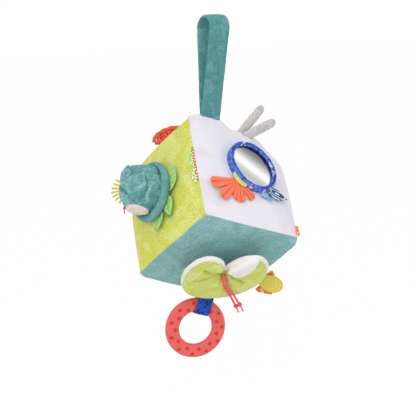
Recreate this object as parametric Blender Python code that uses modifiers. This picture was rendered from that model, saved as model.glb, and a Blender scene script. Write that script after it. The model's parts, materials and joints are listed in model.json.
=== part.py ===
"""Soft fabric activity block that hangs by a velour strap, in metres with +Z up.

The origin is the top inside of the strap's loop, where the block hangs. The block is a stuffed cube
hung by the middle of one edge, so it stands on an edge and leans because the strap is sewn off centre.
Its corners and seams carry a mirror, an animal head with leaves, a drawstring pocket, a teething ring
and sewn tags. Each face has a frame: its x axis runs to the right and its y axis up as someone sees the
face from outside, and z points out of the face from its flat plane.
"""
import bmesh
import bpy
from math import atan2, ceil, cos, exp, hypot, pi, radians, sin, sqrt, tan
from mathutils import Matrix, Vector

# Block
EDGE = 0.140
CROWN = 0.011
EDGE_BOW = 0.0015
PANEL_THICK = 0.002
SEAM_GAP = 0.0003
CLEAR = 0.00035
CROWN_SHARE = 3
SEAM_SHARE = 8
CORNER_DRAW = 0.0015
CORNER_SHARE = 6
CELLS = 10

# Strap
STRAP_OFFSET = 0.0415
STRAP_PULL = 0.009
PULL_REACH = 0.026
STRAP_HEIGHT = 0.119
STRAP_WIDTH = 0.0268
STRAP_THICK = 0.0045
STRAP_DEPTH = 0.034
STRAP_ROOT_THICK = 0.0034
STRAP_NECK = 0.009
STRAP_NECK_DEPTH = 0.0100
STRAP_JOIN = 0.012
STRAP_LEAN = 0.005
STRAP_ROUND = 0.0012
STRAP_BEND = 0.030
STRAP_SINK = 0.0004

# Mirror on the white face
MIRROR_X = 0.005
MIRROR_Y = 0.008
MIRROR_SIGHT_RADIUS = 0.0288
MIRROR_FILM_RADIUS = 0.0312
MIRROR_FILM_THICK = 0.0008
MIRROR_PAD_THICK = 0.0015
MIRROR_RING_RADIUS = 0.0352
MIRROR_RING_HEIGHT = 0.0052
TAG_PLAY = 0.0008

# Fan tag, half disc tab and fringe tags beside the mirror
FAN_THICK = 0.0016
FAN_HUB_X = -0.0210
FAN_HUB_Y = -0.0180
FAN_LONG_NOTCH = 0.0230
FAN_SHORT_NOTCH = 0.0140
FAN_HUB_WIDTH = 0.0100
FAN_LONG_LOBE = 0.0415
FAN_MIDDLE_LOBE = 0.0380
FAN_SHORT_LOBE = 0.0285
FAN_DIP = radians(5)
TAB_RADIUS = 0.0115
TAB_REACH_SHARE = 0.70
TAB_THICK = 0.0012
DROP_LENGTH = 0.0310
DROP_WIDTH = 0.0145
DROP_THICK = 0.0014
FRINGE_LENGTH = 0.0220
FRINGE_WIDTH = 0.0130
FRINGE_THICK = 0.0010

# Folded tag in the seam between the lime and white faces
SEAM_TAG_LENGTH = 0.0500
SEAM_TAG_WIDTH = 0.0066
SEAM_TAG_THICK = 0.0013
SEAM_TAG_RISE = radians(22)

# Collar, head and leaves on the lime face
COLLAR_RADIUS = 0.0363
COLLAR_BORE_RADIUS = 0.0292
COLLAR_CUFF_RADIUS = 0.0312
COLLAR_TOP = 0.0250
COLLAR_ROLL_BOTTOM = 0.0145
HEAD_LENGTH = 0.0615
HEAD_RADIUS = 0.0292
HEAD_RADIUS_HEIGHT = 0.0350
NECK_RADIUS = 0.0140
HEAD_BASE_RADIUS = 0.0282
HEAD_SWING = radians(10)
HOOD_STEPS = 20
CHIN_WIDTH = 0.0250
CHIN_LENGTH = 0.0270
CHIN_DEPTH = 0.0096
CHIN_DROP = 0.0278
CHIN_HEIGHT = 0.0415
LEAF_THICK = 0.0010
LEAF_HEIGHT = 0.0131
ROUND_LEAF_RADIUS = 0.0168
MIDDLE_LEAF_LENGTH = 0.0260
MIDDLE_LEAF_WIDTH = 0.0135
LOW_LEAF_LENGTH = 0.0285
LOW_LEAF_WIDTH = 0.0145
BACK_LEAF_LENGTH = 0.0200
BACK_LEAF_WIDTH = 0.0090

# Drawstring pocket on the teal face
POUCH_RADIUS = 0.0536
POUCH_BASE_RADIUS = 0.0400
POUCH_WIDE_HEIGHT = 0.0300
POUCH_FRONT_HEIGHT = 0.0385
POUCH_CLOTH = 0.0018
LINING_THICK = 0.0024
POUCH_TRIM = 0.0050
POUCH_MOUTH_HEIGHT = 0.0290
POUCH_PINCH_DEPTH = 0.0105
POUCH_PINCH_REACH = 0.0130
POUCH_CREASE_DEPTH = 0.0030
POUCH_CREASE_REACH = 0.0040
POUCH_NOTCH_DEPTH = 0.0390
POUCH_NOTCH_WIDTH = 0.0380
CORD_DIAMETER = 0.0022
KNOT_RADIUS = 0.0023
TAIL_LENGTH = 0.0095

# Ribbon and teething ring
RING_RADIUS = 0.0406
RING_BORE_RADIUS = 0.0225
RING_THICK = 0.0105
RING_BUMP_RADIUS = 0.0014
RING_BUMP_HEIGHT = 0.0007
RING_ALONG = 0.0359
RING_DROP = 0.0606
RING_TURN = radians(15)
RIBBON_WIDTH = 0.0200
RIBBON_THICK = 0.0009
RIBBON_PLAY = 0.0005

# Felt fan, cord, corner tag and oval tag in the other seams
FELT_ALONG = 0.0530
FELT_RADIUS = 0.0125
FELT_SPIKE = 0.0250
FELT_THICK = 0.0016
BACK_CORD_ALONG = 0.0574
BACK_CORD_DROP = 0.0250
BACK_CORD_DIAMETER = 0.0018
BACK_KNOT_RADIUS = 0.0020
CORNER_TAG_ALONG = -0.0605
CORNER_TAG_LENGTH = 0.0150
CORNER_TAG_REACH = 0.0034
CORNER_TAG_THICK = 0.0012
OVAL_LENGTH = 0.0340
OVAL_WIDTH = 0.0270
OVAL_ALONG = 0.0110
OVAL_OUT = 0.0270
OVAL_THICK = 0.0014
STRIP_WIDTH = 0.0085
STRIP_THICK = 0.0010
STEM_WIDTH = 0.0100

# Prongs and flower at the top
LEFT_PRONG_ROOT = 0.0125
LEFT_PRONG_TIP = 0.0340
LEFT_PRONG_LENGTH = 0.0480
RIGHT_PRONG_ROOT = 0.0180
RIGHT_PRONG_TIP = 0.0545
RIGHT_PRONG_LENGTH = 0.0470
PRONG_WIDTH = 0.0125
PRONG_THICK = 0.0064
FLOWER_X = -0.0460
FLOWER_Y = -0.0040
FLOWER_RADIUS = 0.0170
FLOWER_RUFFLE_RADIUS = 0.0215
FLOWER_HEIGHT = 0.0290
FLOWER_LEAN = radians(15)
FLOWER_RUFFLE_THICK = 0.0022
PETAL_DEPTH = 0.0018

MERGE = 0.00001
BURY = 0.006
OVERRUN = 0.020

HALF = EDGE / 2
SEAM_DISTANCE = HALF * sqrt(2)
STRAP_SHARE = STRAP_OFFSET / HALF
STRAP_BOW = EDGE_BOW * (1 - STRAP_SHARE ** 2) - CORNER_DRAW * STRAP_SHARE ** CORNER_SHARE
STRAP_RIDGE = SEAM_DISTANCE + sqrt(2) * STRAP_BOW + STRAP_PULL
STRAP_AXIS = STRAP_RIDGE + CLEAR - STRAP_SINK + STRAP_ROOT_THICK / 2
PITCH = atan2(STRAP_OFFSET, STRAP_AXIS)
ROOT_TO_CENTRE = hypot(STRAP_OFFSET, STRAP_AXIS)
ROOT_DROP = STRAP_HEIGHT - STRAP_THICK

# Colours and finishes: red, green, blue, roughness, metallic
FINISHES = {
    "strap_velour": (0.100, 0.270, 0.260, 0.95, 0.0),
    "lime_velour": (0.680, 0.720, 0.220, 0.95, 0.0),
    "white_cotton": (0.800, 0.790, 0.840, 0.90, 0.0),
    "teal_velour": (0.270, 0.470, 0.470, 0.95, 0.0),
    "cream_cotton": (0.850, 0.800, 0.720, 0.90, 0.0),
    "fibre": (0.900, 0.900, 0.880, 1.00, 0.0),
    "mirror_film": (0.880, 0.880, 0.880, 0.08, 1.0),
    "foam": (0.800, 0.800, 0.780, 0.90, 0.0),
    "blue_print": (0.050, 0.130, 0.560, 0.85, 0.0),
    "orange_felt": (0.950, 0.180, 0.075, 0.80, 0.0),
    "navy_cotton": (0.020, 0.060, 0.200, 0.90, 0.0),
    "pale_blue": (0.350, 0.550, 0.850, 0.90, 0.0),
    "head_velour": (0.110, 0.290, 0.270, 0.95, 0.0),
    "chin_plush": (0.850, 0.810, 0.770, 1.00, 0.0),
    "leaf_print": (0.270, 0.620, 0.180, 0.90, 0.0),
    "dark_leaf": (0.090, 0.380, 0.100, 0.90, 0.0),
    "plush": (0.880, 0.860, 0.840, 1.00, 0.0),
    "red_cord": (0.850, 0.060, 0.120, 0.70, 0.0),
    "coral": (0.820, 0.110, 0.100, 0.45, 0.0),
    "blue_ribbon": (0.015, 0.110, 0.480, 0.50, 0.0),
    "yellow_felt": (0.720, 0.650, 0.060, 0.90, 0.0),
    "yellow_cotton": (0.700, 0.650, 0.130, 0.85, 0.0),
    "grey_velour": (0.500, 0.490, 0.470, 0.95, 0.0),
    "red_cotton": (0.750, 0.050, 0.050, 0.85, 0.0),
}

for leftover in list(bpy.data.objects):
    bpy.data.objects.remove(leftover, do_unlink=True)

parts = bpy.data.collections.new("soft_fabric_block")
bpy.context.scene.collection.children.link(parts)
cutters = bpy.data.collections.new("cutters")
bpy.context.scene.collection.children.link(cutters)


def finish(name):
    """The material of that name, made on first use."""
    if name in bpy.data.materials:
        return bpy.data.materials[name]
    red, green, blue, roughness, metallic = FINISHES[name]
    material = bpy.data.materials.new(name)
    material.use_nodes = True
    shader = material.node_tree.nodes["Principled BSDF"]
    shader.inputs["Base Color"].default_value = (red, green, blue, 1)
    shader.inputs["Roughness"].default_value = roughness
    shader.inputs["Metallic"].default_value = metallic
    material.diffuse_color = (red, green, blue, 1)
    return material


def frame(name, parent, turn, location):
    """An empty whose matrix under its parent is the given turn and location."""
    empty = bpy.data.objects.new(name, None)
    empty.empty_display_size = HALF / 4
    empty.parent = parent
    empty.matrix_local = Matrix.Translation(location) @ turn.to_4x4()
    parts.objects.link(empty)
    return empty


def place(name, mesh, parent, material, turn=Matrix.Identity(3), location=(0, 0, 0)):
    """A part with that mesh under its parent frame."""
    piece = bpy.data.objects.new(name, mesh)
    piece.parent = parent
    piece.matrix_local = Matrix.Translation(location) @ turn.to_4x4()
    mesh.materials.append(finish(material))
    mesh.shade_smooth()
    mesh.set_sharp_from_angle(angle=radians(40))
    parts.objects.link(piece)
    return piece


def to_cutter(piece):
    """Moves a piece to the cutters, which are drawn as wires and not rendered."""
    parts.objects.unlink(piece)
    cutters.objects.link(piece)
    piece.display_type = "WIRE"
    piece.hide_render = True
    return piece


def cut(piece, cutter):
    """Takes the cutter's solid out of the piece."""
    change = piece.modifiers.new("cut_" + cutter.name, "BOOLEAN")
    change.operation = "DIFFERENCE"
    change.solver = "EXACT"
    change.object = cutter
    return piece


def tidy(mesh):
    """Welds doubled points and turns every face outward."""
    shape = bmesh.new()
    shape.from_mesh(mesh)
    bmesh.ops.remove_doubles(shape, verts=shape.verts, dist=MERGE)
    bmesh.ops.recalc_face_normals(shape, faces=shape.faces)
    shape.to_mesh(mesh)
    shape.free()
    return mesh


def bake(source):
    """The evaluated mesh of a curve or a modified object, which is then removed."""
    bpy.context.view_layer.update()
    evaluated = source.evaluated_get(bpy.context.evaluated_depsgraph_get())
    mesh = bpy.data.meshes.new_from_object(evaluated)
    bpy.data.objects.remove(source, do_unlink=True)
    return tidy(mesh)


def lathe(profile, steps, closed=False):
    """Mesh turned about z from a profile of (radius, height) points."""
    count = len(profile)
    links = [(index, index + 1) for index in range(count - 1)]
    if closed:
        links.append((count - 1, 0))
    mesh = bpy.data.meshes.new("profile")
    mesh.from_pydata([(radius, 0, height) for radius, height in profile], links, [])
    source = bpy.data.objects.new("profile", mesh)
    bpy.context.scene.collection.objects.link(source)
    turn = source.modifiers.new("turn", "SCREW")
    turn.steps = steps
    turn.render_steps = steps
    turn.use_merge_vertices = True
    turn.merge_threshold = MERGE
    return bake(source)


def sheet(outlines, thick, bevel=0.0):
    """Flat mesh of the outlines, which are closed lists of (x, y), centred on z = 0."""
    curve = bpy.data.curves.new("outline", "CURVE")
    curve.dimensions = "2D"
    curve.fill_mode = "BOTH"
    curve.extrude = thick / 2 - bevel
    curve.bevel_depth = bevel
    curve.bevel_resolution = 1
    curve.offset = -bevel
    for outline in outlines:
        spline = curve.splines.new("POLY")
        spline.points.add(len(outline) - 1)
        for point, (x, y) in zip(spline.points, outline):
            point.co = (x, y, 0, 1)
        spline.use_cyclic_u = True
    source = bpy.data.objects.new("outline", curve)
    bpy.context.scene.collection.objects.link(source)
    return bake(source)


def smooth_route(route, spacing):
    """Points at that spacing on a smooth curve through the route's own points."""
    ends = [2 * route[0] - route[1]] + route + [2 * route[-1] - route[-2]]
    points = []
    for index in range(1, len(ends) - 2):
        before, start, stop, after = ends[index - 1:index + 3]
        count = max(2, ceil((stop - start).length / spacing))
        for step in range(count):
            t = step / count
            bend = 2 * start + (stop - before) * t
            bend += (2 * before - 5 * start + 4 * stop - after) * t ** 2
            bend += (3 * start - before - 3 * stop + after) * t ** 3
            points.append(bend / 2)
    points.append(route[-1])
    return points


def tube(points, radius, radii=None, resolution=2):
    """Round tube mesh along the points, with a radius share at each where given."""
    curve = bpy.data.curves.new("route", "CURVE")
    curve.dimensions = "3D"
    curve.bevel_depth = radius
    curve.bevel_resolution = resolution
    curve.use_fill_caps = True
    spline = curve.splines.new("POLY")
    spline.points.add(len(points) - 1)
    for index, point in enumerate(points):
        spline.points[index].co = (*point, 1)
        spline.points[index].radius = radii[index] if radii else 1
    source = bpy.data.objects.new("route", curve)
    bpy.context.scene.collection.objects.link(source)
    return bake(source)


def reshape(mesh, change):
    """Moves every point of the mesh to change(point)."""
    for vertex in mesh.vertices:
        vertex.co = change(vertex.co.copy())
    mesh.update()
    return mesh


def grown(mesh, amount):
    """Copy of a closed mesh whose surface lies that much further out."""
    copy = mesh.copy()
    shape = bmesh.new()
    shape.from_mesh(copy)
    shape.normal_update()
    moves = [(vertex, vertex.normal * amount) for vertex in shape.verts]
    for vertex, move in moves:
        vertex.co += move
    shape.to_mesh(copy)
    shape.free()
    return copy


def ease(value):
    """Smooth step from 0 to 1."""
    value = min(max(value, 0), 1)
    return value * value * (3 - 2 * value)


def skin_point(unit, half):
    """Point of the swollen skin for a point of the unit cube's surface, in the block's frame."""
    size = [min(abs(value), 1) for value in unit]
    side = [1 if value >= 0 else -1 for value in unit]
    point = Vector(unit) * half
    for axis in range(3):
        one = (axis + 1) % 3
        two = (axis + 2) % 3
        point[axis] += side[axis] * CROWN * (1 - size[one] ** CROWN_SHARE) * (1 - size[two] ** CROWN_SHARE)
        bow = EDGE_BOW * (1 - size[axis] ** 2) * (size[one] * size[two]) ** SEAM_SHARE
        point[one] += side[one] * bow
        point[two] += side[two] * bow
    draw = CORNER_DRAW * (size[0] * size[1] * size[2]) ** CORNER_SHARE
    point -= Vector(side) * draw
    lift = (max(0, -unit[1]) * max(0, unit[2])) ** 4
    pull = STRAP_PULL * lift * exp(-((unit[0] * HALF + STRAP_OFFSET) / PULL_REACH) ** 4)
    return point + Vector((0, -1, 1)).normalized() * pull


def skin_rise(x, y):
    """Height of a face's skin above its flat plane."""
    a = min(abs(x) / HALF, 1)
    b = min(abs(y) / HALF, 1)
    crown = CROWN * (1 - a ** CROWN_SHARE) * (1 - b ** CROWN_SHARE)
    bow = EDGE_BOW * ((1 - b ** 2) * a ** SEAM_SHARE + (1 - a ** 2) * b ** SEAM_SHARE)
    return crown + bow - CORNER_DRAW * (a * b) ** CORNER_SHARE


def ridge_rise(along):
    """Height of a seam's ridge above the cube's straight edge."""
    share = abs(along) / HALF
    return sqrt(2) * (EDGE_BOW * (1 - share ** 2) - CORNER_DRAW * share ** CORNER_SHARE)


def cube_mesh(half):
    """Closed swollen cube of that half size, in the block's frame."""
    shape = bmesh.new()
    bmesh.ops.create_cube(shape, size=2)
    bmesh.ops.subdivide_edges(shape, edges=shape.edges, cuts=CELLS - 1, use_grid_fill=True)
    for vertex in shape.verts:
        vertex.co = skin_point(vertex.co, half)
    bmesh.ops.triangulate(shape, faces=shape.faces, quad_method="SHORT_EDGE")
    mesh = bpy.data.meshes.new("cube")
    shape.to_mesh(mesh)
    shape.free()
    return tidy(mesh)


def panel_mesh(turn):
    """One sewn panel: the skin of the face that the turn brings up, with a mitred rim."""
    shape = bmesh.new()
    bmesh.ops.create_grid(shape, x_segments=CELLS, y_segments=CELLS, size=1)
    outer = list(shape.verts)
    grown_region = bmesh.ops.extrude_face_region(shape, geom=shape.faces[:])
    inner = [item for item in grown_region["geom"] if isinstance(item, bmesh.types.BMVert)]
    for verts, half in ((outer, HALF), (inner, HALF - PANEL_THICK)):
        share = 1 - SEAM_GAP / half
        for vertex in verts:
            unit = turn @ Vector((vertex.co.x * share, vertex.co.y * share, 1))
            vertex.co = skin_point(unit, half)
    bmesh.ops.triangulate(shape, faces=shape.faces, quad_method="SHORT_EDGE")
    mesh = bpy.data.meshes.new("panel")
    shape.to_mesh(mesh)
    shape.free()
    return tidy(mesh)


def seat_height(outline, root, heading, dip, thick):
    """Height of a flat piece's root so that its underside just clears the crowned skin."""
    middle_x = sum(x for x, y in outline) / len(outline)
    middle_y = sum(y for x, y in outline) / len(outline)
    height = 0
    for x, y in outline + [(middle_x, middle_y)]:
        for share in (1, 2 / 3, 1 / 3):
            along = middle_x + (x - middle_x) * share
            across = middle_y + (y - middle_y) * share
            reach = along * cos(dip)
            spot_x = root[0] + reach * cos(heading) - across * sin(heading)
            spot_y = root[1] + reach * sin(heading) + across * cos(heading)
            height = max(height, skin_rise(spot_x, spot_y) + along * sin(dip))
    return height + CLEAR + thick / 2


def flap(name, outline, root, heading, dip, thick, parent, material):
    """Flat piece seated on a face: x of its outline runs from the root along the heading."""
    turn = Matrix.Rotation(heading, 3, "Z") @ Matrix.Rotation(dip, 3, "Y")
    height = seat_height(outline, root, heading, dip, thick)
    return place(name, sheet([outline], thick), parent, material, turn, (*root, height))


def pointed_oval(length, width, root_width):
    """Leaf outline from a root of that width at x = 0 to a point at x = length."""
    count = 8
    upper = []
    for step in range(1, count):
        t = step / count
        half = width / 2 * sin(pi * t ** 0.85) + root_width / 2 * (1 - t) ** 2
        upper.append((length * t, half))
    lower = [(x, -y) for x, y in reversed(upper)]
    return [(0, root_width / 2)] + upper + [(length, 0)] + lower + [(0, -root_width / 2)]


# Frames of the block, its faces and its seams
hang_frame = frame("hang_frame", None, Matrix.Identity(3), (0, 0, 0))
lean = Matrix.Rotation(PITCH, 3, "Y") @ Matrix.Rotation(radians(-45), 3, "X")
block_frame = frame("block_frame", hang_frame, lean, (-STRAP_LEAN, 0, -ROOT_DROP - ROOT_TO_CENTRE))

QUARTER = radians(90)
FACE_TURNS = {
    "left": Matrix.Rotation(-QUARTER, 3, "Z") @ Matrix.Rotation(QUARTER, 3, "X"),
    "right": Matrix.Rotation(QUARTER, 3, "Z") @ Matrix.Rotation(QUARTER, 3, "X"),
    "front": Matrix.Rotation(QUARTER, 3, "X"),
    "back": Matrix.Rotation(2 * QUARTER, 3, "Z") @ Matrix.Rotation(QUARTER, 3, "X"),
    "top": Matrix.Identity(3),
    "bottom": Matrix.Rotation(2 * QUARTER, 3, "X"),
}
faces = {}
for face, turn in FACE_TURNS.items():
    faces[face] = frame(face + "_frame", block_frame, turn, turn @ Vector((0, 0, HALF)))


def seam_frame(name, along, out):
    """Frame at a seam's middle: x along the seam and y straight out of the block."""
    x_axis = Vector(along)
    y_axis = Vector(out).normalized()
    turn = Matrix((x_axis, y_axis, x_axis.cross(y_axis))).transposed()
    return frame(name, block_frame, turn, y_axis * SEAM_DISTANCE)


strap_seam = seam_frame("strap_seam", (1, 0, 0), (0, -1, 1))
ribbon_seam = seam_frame("ribbon_seam", (1, 0, 0), (0, 1, -1))
oval_seam = seam_frame("oval_seam", (0, 1, 0), (1, 0, -1))
corner_seam = seam_frame("corner_seam", (0, 0, 1), (1, -1, 0))
felt_seam = seam_frame("felt_seam", (0, 0, 1), (-1, 1, 0))

# Panels, stuffing and the cutter that seats every sewn piece on the skin
PANELS = {
    "left": ("panel_lime_left", "lime_velour"),
    "front": ("panel_white_front", "white_cotton"),
    "bottom": ("panel_teal_bottom", "teal_velour"),
    "top": ("panel_cream_top", "cream_cotton"),
    "right": ("panel_lime_right", "lime_velour"),
    "back": ("panel_teal_back", "teal_velour"),
}
for face, (name, material) in PANELS.items():
    place(name, panel_mesh(FACE_TURNS[face]), block_frame, material)
place("stuffing", cube_mesh(HALF - PANEL_THICK - CLEAR), block_frame, "fibre")
block_cutter = to_cutter(place("block_cutter", cube_mesh(HALF + CLEAR), block_frame, "fibre"))


def strap_mesh():
    """Loop of the strap: two legs sewn together at the root, sheared to follow the leaning seam."""
    top_radius = STRAP_DEPTH / 2
    shoulder = STRAP_HEIGHT - top_radius

    def half_depth(height):
        share = (height - STRAP_NECK) / (shoulder - STRAP_NECK)
        return STRAP_NECK_DEPTH / 2 + (top_radius - STRAP_NECK_DEPTH / 2) * max(share, 0)

    root = STRAP_ROOT_THICK / 2
    outer = [(root * sin(turn), -root * cos(turn)) for turn in (0, pi / 4, pi / 2)]
    outer.append((root + (STRAP_NECK_DEPTH / 2 - root) * 2 / 3, STRAP_NECK / 2))
    inner = [(0, STRAP_JOIN)]
    legs = 5
    for step in range(legs):
        height = STRAP_NECK + (shoulder - STRAP_NECK) * step / legs
        outer.append((half_depth(height), height))
    for step in range(1, legs):
        height = STRAP_JOIN + (shoulder - STRAP_JOIN) * step / legs
        inner.append((half_depth(height) - STRAP_THICK, height))
    arc = 6
    for step in range(arc):
        turn = pi / 2 * step / arc
        outer.append((top_radius * cos(turn), shoulder + top_radius * sin(turn)))
        inside = top_radius - STRAP_THICK
        inner.append((inside * cos(turn), shoulder + inside * sin(turn)))
    outer += [(0, STRAP_HEIGHT)]
    inner += [(0, STRAP_HEIGHT - STRAP_THICK)]
    outer += [(-y, z) for y, z in reversed(outer[1:-1])]
    inner += [(-y, z) for y, z in reversed(inner[1:-1])]

    def stand(point):
        across = point.z
        height = point.y
        bend = 1 - ease(height / STRAP_BEND)
        lean = STRAP_LEAN * max(height / STRAP_HEIGHT, 0)
        return Vector((across + lean, point.x, height - tan(PITCH) * across * bend))

    return reshape(sheet([outer, inner], STRAP_WIDTH, STRAP_ROUND), stand)


place("strap_loop", strap_mesh(), hang_frame, "strap_velour", location=(-STRAP_LEAN, 0, -ROOT_DROP))

# Mirror: pad, film and padded ring
mirror_level = max(skin_rise(MIRROR_X, MIRROR_Y), CROWN)
for turn in (0, pi / 2, pi, -pi / 2):
    film_x = MIRROR_X + MIRROR_FILM_RADIUS * cos(turn)
    film_y = MIRROR_Y + MIRROR_FILM_RADIUS * sin(turn)
    mirror_level = max(mirror_level, skin_rise(film_x, film_y))
pad_top = mirror_level + CLEAR + MIRROR_PAD_THICK
film_bottom = pad_top + CLEAR
film_top = film_bottom + MIRROR_FILM_THICK
ring_top = film_top + MIRROR_RING_HEIGHT
lip_bottom = film_top + CLEAR


def mirror_piece(name, profile, closed, material):
    """Turned piece round the mirror's middle, cut to follow the skin under it."""
    mesh = lathe(profile, 36, closed)
    piece = place(name, mesh, faces["front"], material, location=(MIRROR_X, MIRROR_Y, 0))
    return piece


pad_outline = [(0, pad_top), (MIRROR_FILM_RADIUS, pad_top), (MIRROR_FILM_RADIUS, 0), (0, 0)]
cut(mirror_piece("mirror_pad", pad_outline, False, "foam"), block_cutter)
film_outline = [
    (0, film_top),
    (MIRROR_FILM_RADIUS, film_top),
    (MIRROR_FILM_RADIUS, film_bottom),
    (0, film_bottom),
]
mirror_piece("mirror_film", film_outline, False, "mirror_film")
ring_middle = (MIRROR_SIGHT_RADIUS + MIRROR_RING_RADIUS) / 2
ring_half = (MIRROR_RING_RADIUS - MIRROR_SIGHT_RADIUS) / 2
ring_shoulder = (lip_bottom + ring_top) / 2
ring_outline = [(MIRROR_SIGHT_RADIUS, lip_bottom)]
for step in range(7):
    turn = pi - pi * step / 6
    ring_level = ring_shoulder + (ring_top - ring_shoulder) * sin(turn)
    ring_outline.append((ring_middle + ring_half * cos(turn), ring_level))
ring_outline += [
    (MIRROR_RING_RADIUS, 0),
    (MIRROR_FILM_RADIUS + CLEAR, 0),
    (MIRROR_FILM_RADIUS + CLEAR, lip_bottom),
]
cut(mirror_piece("mirror_ring", ring_outline, True, "blue_print"), block_cutter)

ring_reach = MIRROR_RING_RADIUS + TAG_PLAY
clear_outline = [(0, ring_top + OVERRUN), (ring_reach, ring_top + OVERRUN), (ring_reach, 0), (0, 0)]
ring_cutter = to_cutter(mirror_piece("ring_cutter", clear_outline, False, "fibre"))

# Orange fan of four lobes, with the lime half disc between it and the ring
lobes = (
    (radians(186), radians(206), FAN_LONG_LOBE, FAN_LONG_NOTCH),
    (radians(214), radians(238), FAN_MIDDLE_LOBE, FAN_LONG_NOTCH),
    (radians(248), radians(286), FAN_SHORT_LOBE, FAN_SHORT_NOTCH),
    (radians(300), radians(328), FAN_SHORT_LOBE, FAN_SHORT_NOTCH),
)
LOBE_ROUND_SHARE = 0.08
fan_heading = radians(252)
fan_outline = []
for index, (start, stop, length, notch) in enumerate(lobes):
    for step in range(5):
        share = step / 4
        reach = length * (1 - LOBE_ROUND_SHARE * (2 * share - 1) ** 4)
        turn = start + (stop - start) * share - fan_heading
        fan_outline.append((reach * cos(turn), reach * sin(turn)))
    if index < len(lobes) - 1:
        turn = (stop + lobes[index + 1][0]) / 2 - fan_heading
        fan_outline.append((notch * cos(turn), notch * sin(turn)))
fan_outline += [(0, FAN_HUB_WIDTH / 2), (0, -FAN_HUB_WIDTH / 2)]
fan_root = (FAN_HUB_X, FAN_HUB_Y)
fan = flap("fan_tag", fan_outline, fan_root, fan_heading, FAN_DIP, FAN_THICK, faces["front"], "orange_felt")
cut(fan, ring_cutter)


def beside_mirror(turn, gap):
    """Point that far outside the mirror's ring in that direction."""
    radius = MIRROR_RING_RADIUS + gap
    return (MIRROR_X + radius * cos(turn), MIRROR_Y + radius * sin(turn))


# Navy drop tag over the pale fringed tag, both rooted at the ring
drop_turn = radians(305)
drop_outline = pointed_oval(DROP_LENGTH, DROP_WIDTH, DROP_WIDTH / 2)
drop_heading = radians(352)
drop = flap("drop_tag", drop_outline, beside_mirror(drop_turn, 0), drop_heading, radians(4),
            DROP_THICK, faces["front"], "navy_cotton")
drop.location.z += FRINGE_THICK + CLEAR
cut(drop, ring_cutter)
fringe_outline = [(0, FRINGE_WIDTH / 2)]
STRAND_SHARE = 0.7
SHORT_STRAND_SHARE = 0.12
strands = 4
for strand in range(strands):
    top = FRINGE_WIDTH / 2 - FRINGE_WIDTH * strand / strands
    low = top - FRINGE_WIDTH / strands * STRAND_SHARE
    reach = FRINGE_LENGTH * (1 - SHORT_STRAND_SHARE * (strand % 2))
    fringe_outline += [(reach, top), (reach, low)]
    if strand < strands - 1:
        fringe_outline += [(FRINGE_LENGTH / 2, low), (FRINGE_LENGTH / 2, top - FRINGE_WIDTH / strands)]
fringe_outline.append((0, low))
fringe = flap("fringe_tag", fringe_outline, beside_mirror(radians(287), 0), radians(342), radians(4),
              FRINGE_THICK, faces["front"], "pale_blue")
cut(fringe, ring_cutter)

# Lime half disc that lies on the fan's hub, against the ring
tab_turn = radians(226)
tab_reach = TAB_RADIUS * TAB_REACH_SHARE
tab_outline = [(tab_reach * sin(step * pi / 8), TAB_RADIUS * cos(step * pi / 8)) for step in range(9)]
tab_x, tab_y = beside_mirror(tab_turn, 0)
tab_along = (tab_x - FAN_HUB_X) * cos(fan_heading) + (tab_y - FAN_HUB_Y) * sin(fan_heading)
tab_height = fan.location.z - tab_along * tan(FAN_DIP) + (FAN_THICK + TAB_THICK) / 2 + CLEAR
tab_turning = Matrix.Rotation(fan_heading, 3, "Z") @ Matrix.Rotation(FAN_DIP, 3, "Y")
tab_turning = tab_turning @ Matrix.Rotation(tab_turn - fan_heading, 3, "Z")
tab = place("half_disc_tab", sheet([tab_outline], TAB_THICK), faces["front"], "lime_velour", tab_turning,
            (tab_x, tab_y, tab_height))
cut(tab, ring_cutter)

# Folded tag along the seam between the lime and white faces
tag_half = SEAM_TAG_LENGTH / 2
tag_shares = ((0, 1), (0.6, 0.92), (1, 0.70), (1, -0.10), (0.8, -0.45), (0.4, -0.80), (0, -1))
seam_tag_outline = [(SEAM_TAG_WIDTH * x, tag_half * y) for x, y in tag_shares]
seam_tag_root = (HALF - SEAM_GAP, -SEAM_TAG_THICK)
seam_tag = flap("seam_tag", seam_tag_outline, seam_tag_root, pi, -SEAM_TAG_RISE, SEAM_TAG_THICK,
                faces["left"], "leaf_print")
cut(seam_tag, block_cutter)

# Collar, a short cuff with a rolled rim
roll_middle = (COLLAR_BORE_RADIUS + COLLAR_RADIUS) / 2
roll_half = (COLLAR_RADIUS - COLLAR_BORE_RADIUS) / 2
roll_height = (COLLAR_TOP + COLLAR_ROLL_BOTTOM) / 2
roll_rise = (COLLAR_TOP - COLLAR_ROLL_BOTTOM) / 2
collar_outline = [(COLLAR_BORE_RADIUS, 0), (COLLAR_BORE_RADIUS, roll_height)]
for step in range(1, 9):
    turn = pi - pi * 3 / 2 * step / 8
    collar_outline.append((roll_middle + roll_half * cos(turn), roll_height + roll_rise * sin(turn)))
collar_outline += [(COLLAR_CUFF_RADIUS, COLLAR_ROLL_BOTTOM), (COLLAR_CUFF_RADIUS, 0)]
cut(place("head_collar", lathe(collar_outline, 36, True), faces["left"], "head_velour"), block_cutter)

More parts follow.
